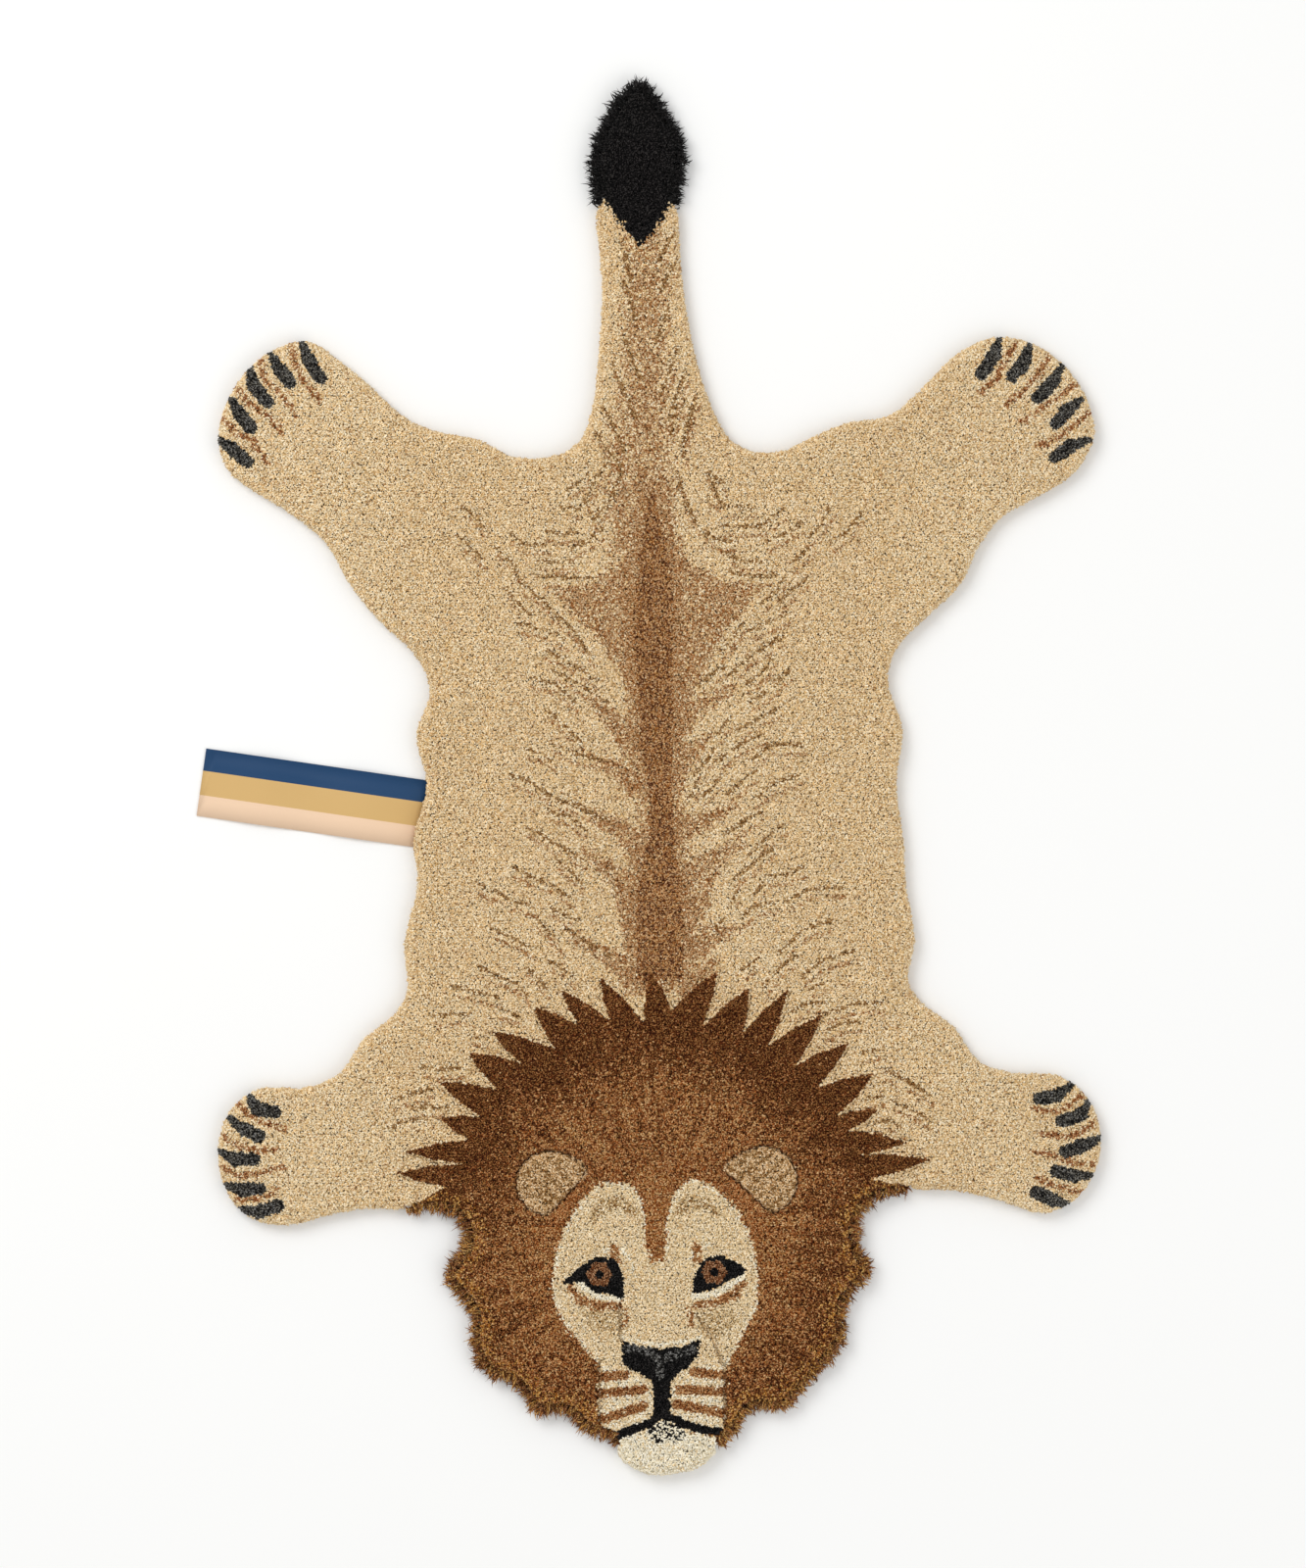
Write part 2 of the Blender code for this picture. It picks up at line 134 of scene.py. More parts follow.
def start_material(name, surface):
    """A material with a shader wired to its output. surface holds values for the shader's own sockets."""
    material = bpy.data.materials.new(name)
    material.use_nodes = True
    tree = material.node_tree
    tree.nodes.clear()
    shader = add_node(tree, "ShaderNodeBsdfPrincipled", inputs=surface)
    add_node(tree, "ShaderNodeOutputMaterial", inputs={"Surface": shader.outputs["BSDF"]})
    return material, tree, shader


def object_place(tree):
    """The place on the object, in metres, as a pattern's input."""
    return add_node(tree, "ShaderNodeTexCoord").outputs["Object"]


def mixed_colour(tree, share, start, end):
    """A colour between two hex colours. A Mix node's sockets share their names, so numbers pick them."""
    mix = add_node(tree, "ShaderNodeMix", {"data_type": "RGBA"}, {0: share, 6: rgba(start), 7: rgba(end)})
    return mix.outputs[2]


def toned_colour(tree, colour, tone):
    """A colour made lighter or darker by a factor."""
    scale = add_node(tree, "ShaderNodeVectorMath", {"operation": "SCALE"}, {"Vector": colour, "Scale": tone})
    return scale.outputs["Vector"]


def carried_over(tree, value, ends, source=(0.0, 1.0)):
    """A value carried from a source range over to another range."""
    node = add_node(tree, "ShaderNodeMapRange",
                    inputs={"Value": value, "From Min": source[0], "From Max": source[1],
                            "To Min": ends[0], "To Max": ends[1]})
    return node.outputs["Result"]


def add_relief(tree, shader, height, strength, depth):
    """Lets a pattern tilt the light on a surface, as threads and fibres do."""
    bump = add_node(tree, "ShaderNodeBump",
                    inputs={"Height": height, "Strength": strength, "Distance": depth})
    tree.links.new(bump.outputs["Normal"], shader.inputs["Normal"])


print("node helpers ready")

# %% Floor and studio light
FLOOR_SIZE = 12.0
FLOOR_PATCHES = 2.0
STUDIO_GLOW = 0.68
SOFTBOXES = (
    # name, place in metres, side in metres, watts
    ("key_softbox", (-1.7, 1.5, 2.4), 1.8, 46),
    ("fill_softbox", (1.9, -1.2, 2.2), 2.4, 18),
)


def build_floor():
    """A painted floor: matt and nearly white, with a faint unevenness that keeps it from looking empty."""
    material, tree, shader = start_material("painted_floor", {"Roughness": 0.9, "Specular IOR Level": 0.1})
    patches = add_node(tree, "ShaderNodeTexNoise",
                       inputs={"Vector": object_place(tree), "Scale": FLOOR_PATCHES})
    paint = mixed_colour(tree, patches.outputs["Fac"], "f6f6f4", "f8f8f7")
    tree.links.new(paint, shader.inputs["Base Color"])
    bm = bmesh.new()
    bmesh.ops.create_grid(bm, x_segments=4, y_segments=4, size=FLOOR_SIZE / 2)
    return object_of("floor", bm, material)


def add_softbox(name, place, size, watts):
    """A square area light that faces the middle of the rug."""
    data = bpy.data.lights.new(name, "AREA")
    data.size = size
    data.energy = watts
    light = bpy.data.objects.new(name, data)
    light.location = place
    light.rotation_mode = "QUATERNION"
    light.rotation_quaternion = (-Vector(place)).to_track_quat("-Z", "Y")
    bpy.context.collection.objects.link(light)


floor = build_floor()
for softbox in SOFTBOXES:
    add_softbox(*softbox)
world = bpy.data.worlds.new("studio")
world.use_nodes = True
backdrop = world.node_tree.nodes["Background"].inputs
backdrop["Color"].default_value = rgba("ffffff")
backdrop["Strength"].default_value = STUDIO_GLOW
bpy.context.scene.world = world
print("floor,", len(SOFTBOXES), "softboxes and a pale studio round them")

# %% [markdown]
# ## The yarns
#
# A tufter works from cones of dyed yarn. The picture on this rug needs about twenty of them. Where the
# drawing seems to fade from one tone to the next, no yarn fades: two yarns are mixed, strand by strand,
# like salt and pepper. So a table of plain colours is all that the picture needs.
#
# The hex values are the yarn itself in plain light. A pile always looks darker than its yarn, because
# much of what the eye sees is the shade between the tufts.

# %% Cones of yarn
YARNS = {
    "sand": "f1d3a2", "pale_sand": "f8e1b7", "deep_sand": "e6c696", "umber": "a37a47",
    "spine_brown": "b4804d", "dark_spine": "7d4f2d", "rust": "a2683b",
    "black": "0c0a09", "charcoal": "4d4941", "slate": "565450",
    "mane_dark": "673812", "mane_brown": "92592c", "mane_warm": "ae713c", "mane_gold": "bc8a52",
    "rim_gold": "c08a42",
    "fawn": "c79f70", "face_sand": "f4dcb1", "cream": "fff4d9", "olive": "c5a573",
    "iris": "8d5d39", "ear_khaki": "e2be8e",
}
YARN_NAMES = list(YARNS)
YARN_COLOURS = np.array([linear(YARNS[name]) for name in YARN_NAMES])
print(len(YARNS), "yarns")

# %% [markdown]
# ## Reading the solid model
#
# The solid is one closed slab with pointed locks at the rim of the mane and of the tail's tuft. We take a
# merged copy, find the locks by their sharp tips (a corner where four short edges meet), note where each
# one points, and cut them off. What is left is a smooth slab that tufts can be planted on by casting rays
# at it. The original is never changed.

# %% A copy of the slab, and its locks
MERGE_GAP = 0.005 * MM
LOCK_SIDES = 4
LOCK_RING_SIZE = 6.5 * MM
LOCK_REACH = 2.0 * MM
HOLE_SIDES = 6


def merged_copy(node):
    """A bmesh copy of a solid's mesh with its loose triangles joined."""
    bm = bmesh.new()
    bm.from_mesh(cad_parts[node].data)
    bmesh.ops.remove_doubles(bm, verts=bm.verts, dist=MERGE_GAP)
    return bm


def take_off_locks(bm):
    """Cuts the locks off a copy of the slab, and returns the waist and the tip of each."""
    locks, gone = [], set()
    for vert in bm.verts:
        ring = [edge.other_vert(vert) for edge in vert.link_edges]
        if len(ring) != LOCK_SIDES:
            continue
        middle = sum((v.co for v in ring), Vector()) / LOCK_SIDES
        spread = max((a.co - b.co).length for a in ring for b in ring)
        if spread < LOCK_RING_SIZE and (vert.co - middle).length > LOCK_REACH:
            locks.append((middle.copy(), vert.co.copy()))
            gone.update([vert, *ring])
    bmesh.ops.delete(bm, geom=list(gone), context="VERTS")
    rim = [edge for edge in bm.edges if edge.is_boundary]
    bmesh.ops.holes_fill(bm, edges=rim, sides=HOLE_SIDES)
    bmesh.ops.triangulate(bm, faces=bm.faces)
    return locks


slab = merged_copy("tufted_rug")
locks = take_off_locks(slab)
lock_waists, lock_tips = (np.array(ends) / MM for ends in zip(*locks))
lock_roots = 2.0 * lock_waists - lock_tips
slab_tree = BVHTree.FromBMesh(slab)
print(len(slab.faces), "faces on the bare slab,", len(locks), "locks found,",
      sum(edge.is_boundary for edge in slab.edges), "open edges")

# %% [markdown]
# ## The drawn plan
#
# Before tufting, the maker draws the animal on the backing cloth. Ours is a set of short tables in
# millimetres on the rug: areas with a few corners, and strokes with two or three points. The x axis
# runs to the right and y up to the tail, with the nose towards -y. Strokes of hair are placed in a
# fan along the spine: they lean outwards and towards the tail, as fur does.

# %% Hair, spine and shade of the back
HAIRS_LEFT = (
    # outer x, y     middle x, y    inner x, y
    (-130, 180, -122, 174, -117, 167), (-134, 161, -124, 152, -116, 146), (-109, 154, -98, 144, -90, 128),
    (-98, 162, -91, 155, -76, 155), (-80, 145, -69, 143, -56, 144), (-78, 134, -63, 133, -40, 133),
    (-75, 164, -64, 162, -54, 163), (-65, 179, -54, 179, -47, 183), (-60, 191, -52, 197, -47, 202),
    (-58, 152, -47, 158, -38, 165), (-102, 126, -95, 118, -86, 109), (-86, 126, -78, 119, -71, 111),
    (-93, 103, -80, 100, -62, 92), (-69, 109, -58, 100, -45, 81), (-76, 86, -60, 78, -41, 65),
    (-70, 72, -52, 62, -34, 51), (-86, 67, -69, 63, -56, 51), (-75, 47, -64, 36, -52, 25),
    (-89, 20, -80, 18, -72, 12), (-72, 25, -57, 17, -34, 12), (-98, 3, -93, 1, -88, -1),
    (-86, -2, -79, -6, -72, -12), (-67, -14, -54, -17, -42, -23), (-51, -20, -42, -25, -33, -28),
    (-72, -21, -60, -25, -49, -33), (-87, -32, -71, -41, -50, -54), (-68, -53, -60, -59, -52, -68),
    (-97, -58, -93, -60, -88, -62), (-86, -64, -73, -69, -60, -78), (-120, -69, -116, -72, -112, -75),
    (-110, -73, -99, -80, -83, -84), (-73, -84, -63, -89, -54, -94), (-83, -91, -74, -99, -67, -108),
    (-111, -99, -98, -104, -83, -112), (-62, -99, -49, -107, -34, -117), (-73, -120, -65, -124, -58, -130),
    (-119, -124, -110, -129, -98, -133), (-89, -124, -82, -130, -75, -138), (-98, -133, -91, -137, -87, -143),
    (-138, -136, -123, -140, -107, -144), (-148, -157, -137, -155, -125, -156),
    (-105, -151, -99, -154, -94, -157), (-125, -170, -119, -170, -114, -171),
    (-157, -190, -144, -192, -132, -191), (-177, -212, -164, -208, -151, -204),
    (-164, -217, -151, -216, -138, -218), (-177, -230, -168, -225, -154, -224),
)
HAIRS_RIGHT = (
    # inner x, y     middle x, y    outer x, y
    (32, 203, 39, 198, 43, 194), (32, 188, 44, 179, 63, 180), (41, 167, 67, 167, 82, 178),
    (30, 163, 40, 157, 51, 157), (71, 157, 83, 163, 95, 170), (44, 150, 54, 144, 68, 144),
    (47, 137, 62, 134, 77, 135), (87, 143, 94, 148, 100, 155), (98, 160, 107, 168, 113, 180),
    (114, 157, 124, 163, 134, 176), (67, 116, 76, 123, 82, 133), (79, 117, 87, 125, 97, 133),
    (40, 84, 49, 95, 56, 104), (60, 98, 71, 103, 84, 109), (44, 67, 58, 80, 82, 95),
    (58, 63, 68, 71, 76, 81), (26, 62, 32, 68, 43, 75), (60, 51, 73, 60, 86, 72),
    (51, 32, 65, 40, 81, 48), (39, 30, 42, 34, 46, 40), (40, 13, 54, 23, 68, 30),
    (60, 12, 73, 23, 95, 23), (23, 3, 29, 10, 36, 19), (21, -11, 23, -7, 25, -2),
    (29, -11, 35, -5, 40, 1), (45, -10, 53, -3, 63, 5), (63, -13, 74, -4, 92, 3),
    (43, -36, 55, -29, 66, -21), (60, -50, 69, -40, 82, -30), (49, -66, 61, -56, 75, -45),
    (71, -64, 84, -63, 95, -58), (84, -81, 98, -73, 120, -71), (63, -75, 65, -73, 68, -70),
    (55, -91, 63, -84, 76, -81), (47, -84, 49, -80, 51, -75), (36, -98, 40, -95, 43, -92),
    (79, -115, 95, -100, 113, -93), (54, -126, 60, -122, 67, -118), (69, -138, 78, -126, 90, -117),
    (95, -130, 107, -120, 129, -113), (100, -138, 104, -137, 108, -134), (86, -154, 97, -148, 108, -148),
    (111, -154, 128, -148, 147, -148), (109, -167, 120, -161, 132, -160),
    (134, -181, 141, -179, 148, -178), (136, -212, 142, -210, 147, -209),
    (150, -192, 165, -200, 179, -209), (152, -212, 167, -218, 178, -225),
    (141, -227, 152, -226, 161, -231), (17, 251, 11, 240, 7, 229), (22, 240, 19, 230, 16, 212),
)
SPINE = (
    # y, left edge, right edge
    (187, -6, -3), (165, -10, 2), (152, -12, 5), (130, -15, 8), (108, -17, 9), (86, -17, 9), (64, -14, 8),
    (42, -13, 9), (20, -12, 8), (-2, -7, 8), (-15, -6, 8), (-35, -6, 9), (-53, -11, 11), (-68, -13, 13),
    (-90, -15, 15), (-133, -15, 15),
)
TAIL_HAIRS = (
    # outer x, y     ...            inner x, y
    (-25, 356, -19, 330), (-23, 329, -16, 305), (-24, 293, -12, 263), (-31, 274, -16, 239),
    (-37, 246, -22, 215), (-41, 229, -37, 220, -25, 207), (-34, 208, -41, 202, -48, 184),
    (-25, 202, -33, 184, -44, 171), (9, 360, -1, 341), (13, 346, 1, 323), (7, 313, -2, 289),
    (12, 284, 0, 253), (18, 270, 5, 236), (24, 253, 14, 220), (12, 202, 17, 184, 25, 167),
    (32, 202, 40, 184),
)
TAIL_STRIP = (
    # y, left edge, right edge
    (365, -21, -1), (321, -22, 5), (282, -23, 3), (243, -26, 4), (217, -33, 6), (191, -34, 8), (165, -31, 12),
    (146, -30, 16),
)
WINGS = (
    ((-5, 184), (-11, 167), (-18, 150), (-30, 139), (-50, 129), (-73, 124), (-63, 116), (-50, 101),
     (-36, 86), (-25, 69), (-19, 52), (-16, 46), (0, 46)),
    ((-3, 184), (4, 167), (11, 150), (24, 140), (41, 132), (68, 126), (58, 115), (46, 100), (38, 86),
     (31, 73), (24, 59), (21, 49), (0, 46)),
)
CHEVRON_ARMS = (
    # foot x, y      middle x, y    end x, y
    (-18, 23, -31, 39, -47, 54), (-15, -3, -27, 6, -44, 15), (-12, -49, -27, -32, -47, -20),
    (-14, -75, -31, -62, -49, -47), (-14, -107, -21, -87, -29, -71), (-12, -133, -34, -117, -54, -104),
    (8, 29, 24, 47, 49, 60), (8, 3, 20, 16, 33, 30), (5, -36, 24, -29, 50, -19), (12, -71, 32, -55, 55, -43),
    (15, -100, 27, -81, 37, -62), (17, -117, 34, -104, 55, -98), (20, -139, 27, -130, 37, -119),
)
print(len(HAIRS_LEFT) + len(HAIRS_RIGHT) + len(TAIL_HAIRS), "strokes of hair")

# %% The crown of the mane, and the foot of the tuft
SPINE_SPIKE = (-6, -126)
SPIKES = (
    # left valley x, y, left tip x, y, right valley x, y, right tip x, y
    (-10, -161, -39, -131, 8, -153, 39, -126), (-32, -160, -65, -139, 28, -164, 59, -138),
    (-53, -163, -83, -150, 55, -168, 85, -139), (-69, -178, -111, -166, 72, -176, 108, -155),
    (-92, -187, -126, -181, 90, -189, 125, -174), (-107, -205, -146, -200, 104, -204, 142, -194),
    (-118, -223, -145, -224, 118, -222, 145, -218), (-125, -238, -168, -246, 125, -232, 164, -240),
    (-130, -254, -174, -260, 132, -248, 179, -251),
)
LAST_VALLEYS = ((-141, -269), (140, -264))
RIM_CORNERS = ((-165, -286), (164, -273))
ROUND_THE_HEAD = ((190, -290), (190, -500), (-190, -500), (-190, -300))
SPIKE_BULGE = 1.6
TUFT = ((-36, 383), (-29, 371), (-21, 361), (-13, 352), (-6, 359), (-1, 366), (8, 380), (24, 383), (24, 500),
        (-52, 500), (-52, 384))


def head_area():
    """The border of the head: the crown of spikes, each side a little swollen, closed below the chin."""
    left = [corner for row in SPIKES[::-1] for corner in (row[2:4], row[0:2])]
    right = [corner for row in SPIKES for corner in (row[4:6], row[6:8])]
    border = np.array([RIM_CORNERS[0], LAST_VALLEYS[0], *left, SPINE_SPIKE, *right, LAST_VALLEYS[1],
                       RIM_CORNERS[1]], float)
    corners = []
    for start, end in zip(border, border[1:]):
        across = np.array((end[1] - start[1], start[0] - end[0])) / math.dist(start, end)
        corners += [start, (start + end) / 2.0 - across * SPIKE_BULGE]
    return [*corners, border[-1], *ROUND_THE_HEAD]


HEAD = head_area()
print(len(HEAD), "corners round the head")

# %% Claws and toe lines
CLAWS = (
    # tip x, y      belly x, y      root x, y
    (-236, 288, -232, 277, -224, 265), (-257, 281, -251, 271, -244, 262), (-271, 273, -268, 260, -259, 249),
    (-283, 251, -277, 241, -270, 232), (-292, 225, -282, 218, -272, 210), (225, 291, 221, 280, 213, 268),
    (245, 288, 241, 275, 233, 266), (266, 273, 260, 262, 250, 252), (279, 251, 270, 244, 262, 235),
    (284, 224, 272, 220, 262, 213), (-272, -208, -266, -218, -254, -220),
    (-284, -224, -275, -231, -264, -236), (-291, -246, -280, -251, -268, -251),
    (-287, -268, -276, -271, -264, -271), (-277, -284, -265, -286, -252, -282),
    (272, -202, 263, -209, 251, -211), (284, -213, 278, -222, 266, -226), (292, -237, 280, -242, 268, -246),
    (286, -262, 273, -262, 262, -259), (271, -281, 260, -278, 249, -273),
)
CLAW_HALF_WIDTHS = (2.0, 4.7, 4.2)
TOE_LINES = (
    (-244, 288, -240, 272, -234, 262, -224, 249), (-264, 279, -261, 264, -251, 255, -240, 240),
    (-279, 258, -270, 247, -258, 240, -250, 229), (-288, 238, -279, 228, -269, 224, -259, 209),
    (235, 288, 229, 277, 222, 264, 213, 256), (257, 279, 251, 267, 240, 256, 229, 247),
    (275, 261, 264, 253, 252, 245, 240, 236), (284, 242, 275, 234, 264, 226, 251, 220),
    (-279, -213, -273, -221, -262, -226, -248, -231), (-288, -236, -279, -242, -266, -245, -253, -245),
    (-288, -256, -277, -262, -266, -261, -249, -256), (-279, -277, -266, -278, -258, -274, -252, -270),
    (279, -209, 270, -216, 260, -220, 247, -218), (289, -225, 278, -234, 267, -236, 253, -234),
    (287, -255, 275, -254, 264, -250, 247, -246), (279, -273, 269, -271, 260, -268, 249, -263),
)
print(len(CLAWS), "claws and", len(TOE_LINES), "toe lines")

# %% [markdown]
# The face is the finest part of the drawing: there a tuft is a twentieth of an eye. The areas overlap on
# purpose. Each later one covers the earlier ones, as a painter would lay them: the sand coloured face
# first, then the shades, the dark lines and the eyes.

# %% The face
FACE = (
    (-6, -312), (-8, -300), (-9, -288), (-11, -277), (-16, -270.5), (-24, -267), (-35, -266), (-43, -270),
    (-51, -278), (-58, -289), (-64, -301), (-68, -313), (-70, -326), (-71, -339), (-68, -350), (-62, -361),
    (-54, -370), (-47, -379), (-40, -386), (-40, -424), (-33, -432), (-27, -436), (39, -432), (43, -423),
    (44, -408), (43, -390), (49, -379), (55, -366), (61, -356), (65, -347), (65, -326), (62, -310),
    (58, -296), (51, -284), (41, -274), (32, -267), (22, -264), (15, -268), (9, -276), (5, -286),
    (4, -296), (3, -312),
)
NOSE_BRIDGE = ((-13, -262), (11, -262), (5, -288), (4, -308), (2, -318), (-5, -318), (-8, -308), (-9, -288))
MUZZLE_PADS = (
    ((-39, -387), (-21.5, -392), (-6, -398.5), (-4.5, -416.5), (-11.5, -425.5), (-26.5, -432), (-39, -425)),
    ((43, -387), (25.5, -387), (9, -397), (8.5, -416.5), (17.5, -424.5), (42, -429.5)),
)
WHISKER_STRIPES = (
    ((-38, -395), (-22, -393.5)), ((-39, -406), (-11, -403)), ((-36.5, -422.5), (-10.5, -414)),
    ((22.5, -391.5), (42, -393.5)), ((13, -403), (42, -404.5)), ((11, -412.5), (41, -418.5)),
)
NOSE = ((-24.5, -370.5), (-15, -374.5), (0.5, -376.5), (16, -374.5), (26.5, -370.5), (26, -379.5),
        (19, -388.5), (11, -393.5), (7, -399), (7, -420), (-4, -420), (-4, -399), (-9, -394.5),
        (-17.5, -390.5), (-24.5, -386))
NOSE_LIGHTS = (((-21, -375.5), (-7, -378), (0, -384), (0.5, -393)), ((5, -382.5), (14, -378), (23, -376.5)))
NOSE_TOP = ((-25, -368.5), (-14, -371.5), (0.5, -373.5), (16, -371.5), (27, -368.5))
EYE_TOPS = (((-37, -312), (-28, -308), (-20, -316), (-17, -328)), ((20, -317), (24, -308), (33, -308)))
MOUTH = ((-26.5, -433), (-16, -429), (-6, -425.5), (1.5, -419), (8.5, -422), (15.5, -425.5), (24, -428.5),
         (39, -431.5))
UNDER_MOUTH = ((3, -422.5), (16, -429), (19, -433.5), (11, -438), (-3, -438), (-9.5, -433), (-6, -428.5))
CHIN = ((-28, -436.5), (-15, -432), (3, -434.5), (25.5, -432), (39.5, -435.5), (48, -470), (-38, -470))
EYES = (
    ((-65, -333), (-51.5, -321.5), (-41.5, -315.5), (-30, -317), (-24.5, -325), (-23, -343), (-33, -340.5),
     (-43, -338.5), (-50.5, -332)),
    ((58.5, -325), (48.5, -317.5), (39, -314), (29, -317.5), (23.5, -326.5), (21.5, -339.5), (33.5, -337.5),
     (42, -333.5), (50, -329)),
)
IRISES = ((-39.7, -327), (36.2, -325.5))
IRIS_RADIUS = 7.9
PUPIL_RADIUS = 2.9
LOWER_LIDS = (
    ((-54, -330.5), (-47.5, -338), (-37.5, -342.5), (-26, -342.5)),
    ((22, -341.5), (37, -340), (49, -333), (55.5, -328.5)),
)
UNDER_EYES = (
    ((-59, -335.5), (-52.5, -344), (-39.5, -348), (-26, -347.5)),
    ((24, -347.5), (37, -346), (50, -339.5), (55.5, -332.5)),
)
CHEEK_SHADES = (
    ((-52.5, -348.5), (-25.5, -352.5), (-26, -365), (-39.5, -367.5), (-48.5, -358.5)),
    ((24.5, -353), (48.5, -348), (51, -358.5), (42, -370), (33, -367.5)),
)
EYE_CORNERS = (((-30, -310.5), (-28.5, -318)), ((24.5, -309.5), (25.5, -317)))
NOSE_SIDES = (((-22, -352), (-22, -361)), ((20.5, -349), (21.5, -361)))
BROWS = (
    ((-44, -290), (-37, -282), (-27, -279), (-17, -286)),
    ((12, -287), (19, -279), (30, -281), (38, -287)),
)
BROW_BANDS = (((-52.5, -271.5), (-65, -286.5), (-70, -297.5)), ((49, -268), (60.5, -284.5), (65, -300)))
EARS = (
    # centre x, y, radius, point's angle, straight side's distance, straight side's angle
    (-73.0, -267.0, 21.5, 20.0, 14.2, -43.0),
    (69.0, -265.0, 22.5, 168.0, 12.8, 228.0),
)
EAR_POINT = 0.25
EAR_POINT_SHARPNESS = 7
EAR_HAIRS = (
    (-90, -268, -77, -278, -68, -284), (-88, -260, -76, -270, -66, -279), (-82, -253, -71, -264, -61, -274),
    (-73, -250, -65, -259, -58, -267), (47, -258, 58, -250, 66, -246), (52, -264, 64, -254, 75, -247),
    (58, -270, 70, -261, 82, -251), (65, -277, 76, -268, 87, -259), (72, -284, 82, -275, 89, -268),
)
print(len(FACE), "corners round the face")

# %% [markdown]
# Shears also cut fine lines beside the nose and the muzzle. They are too narrow for the solid, so here
# the tufts along them are simply cut shorter, and the shade in the line draws it.

# %% Carved lines
CARVED_LINES = (
    ((-26, -345.5), (-25.5, -370.5)), ((24.5, -354), (34.5, -368), (42, -387.5)),
    ((-39.5, -384), (-39.5, -429.5)), ((43.5, -387), (43.5, -428.5)),
)
CARVED_HALF = 1.5
CARVED_DEPTH = 3.2
print(len(CARVED_LINES), "carved lines")


# %% Distances on the drawing
def in_area(spots, corners):
    """Which spots lie inside an area, given by its corners."""
    x, y = spots.T
    inside = np.zeros(len(spots), bool)
    for (x0, y0), (x1, y1) in zip(corners, corners[1:] + corners[:1]):
        if y0 != y1:
            crossing = x0 + (y - y0) * (x1 - x0) / (y1 - y0)
            inside ^= ((y0 > y) != (y1 > y)) & (x < crossing)
    return inside


def line_gap(spots, path, half_width):
    """Distance from each spot to the side of a stroke: negative inside it. half_width is one for the
    whole stroke, or one for each of its points.
    """
    gap = np.full(len(spots), np.inf)
    path = np.array(path, float)
    halves = np.broadcast_to(half_width, len(path))
    for start, end, half0, half1 in zip(path, path[1:], halves, halves[1:]):
        along = end - start
        share = np.clip((spots - start) @ along / (along @ along), 0.0, 1.0)
        away = np.linalg.norm(spots - start - share[:, None] * along, axis=1)
        gap = np.minimum(gap, away - half0 - share * (half1 - half0))
    return gap


def band_gap(spots, rows):
    """Distance from each spot to the sides of a band along y, given by rows of y, left, right."""
    ys, left, right = np.array(rows[::-1], float).T
    lefts, rights = np.interp(spots[:, 1], ys, left), np.interp(spots[:, 1], ys, right)
    beyond = np.maximum(ys[0] - spots[:, 1], spots[:, 1] - ys[-1])
    return np.maximum(np.maximum(lefts - spots[:, 0], spots[:, 0] - rights), beyond)


def fade(gap, width):
    """1 well inside an edge, 0 well outside it, and even between over a width."""
    return np.clip(0.5 - gap / width, 0.0, 1.0)


def cloudy(spots, size, seed):
    """Soft noise from about -1 to 1 with patches of a given size."""
    return np.array([noise.noise(Vector((x / size, y / size, seed))) for x, y in spots])


def paths_of(rows):
    """Flat rows of x, y, x, y ... as paths of points."""
    return [np.array(row, float).reshape(-1, 2) for row in rows]


print("the first claw is", round(math.dist(CLAWS[0][:2], CLAWS[0][4:]), 1), "mm long")


# %% [markdown]
# ## Choosing a yarn for every strand
#
# Each strand of a tuft throws a die. A stroke or an area gives the chance of its yarn at that place:
# nearly one in the black of the nose, one half in the mottled shade beside the spine. Because the choice
# is made strand by strand, edges come out as ragged as on the real rug, and no two strands side by side
# need to agree.

# %% The dyer's ways of working
SEED = 11
MOTTLE_BROWN = 0.55
CRISP = 0.8
CLOSE = 0.4


class Dyer:
    """Chooses a yarn for each strand. Spots and widths are in millimetres."""

    def __init__(self, spots, seed):
        self.spots = spots
        self.dice = np.random.default_rng(seed)
        self.yarn = np.zeros(len(spots), int)

    def dye(self, yarn, chance):
        """Gives a yarn to each strand with the chance that holds at its place."""
        self.yarn[self.dice.random(len(self.spots)) < chance] = YARN_NAMES.index(yarn)

    def along(self, path, half, soft):
        """1 on a stroke and 0 off it. soft is the width over which its edge fades."""
        return fade(line_gap(self.spots, path, half), soft)

    def inside(self, corners, stray):
        """Which strands lie in an area. stray is how far they may stray over its edge."""
        return in_area(self.spots + self.dice.normal(size=self.spots.shape) * stray, corners)

    def strokes(self, paths, *coats):
        """Dyes along paths. A coat is a yarn, its chance, half the width of the stroke, and its softness."""
        for path in paths:
            for yarn, chance, half, soft in coats:
                self.dye(yarn, chance * self.along(path, half, soft))

    def areas(self, shapes, *coats):
        """Dyes areas. A coat is a yarn, its chance, and how far strands stray over the edge."""
        for corners in shapes:
            for yarn, chance, stray in coats:
                self.dye(yarn, chance * self.inside(corners, stray))

    def blend(self, mix, first, second, where=1.0):
        """Dyes by rows of a yarn, its share, and how much the share grows with each of two patterns."""
        for yarn, share, by_first, by_second in mix:
            self.dye(yarn, where * np.clip(share + by_first * first + by_second * second, 0.0, 1.0))

    def mottle(self, chance):
        """Shade on the coat: fawn yarn, with brown yarn between it."""
        self.dye("fawn", chance)
        self.dye("spine_brown", MOTTLE_BROWN * chance)


print("a crisp stroke fades over", CRISP, "mm, and strands stray", CLOSE, "mm over a close edge")

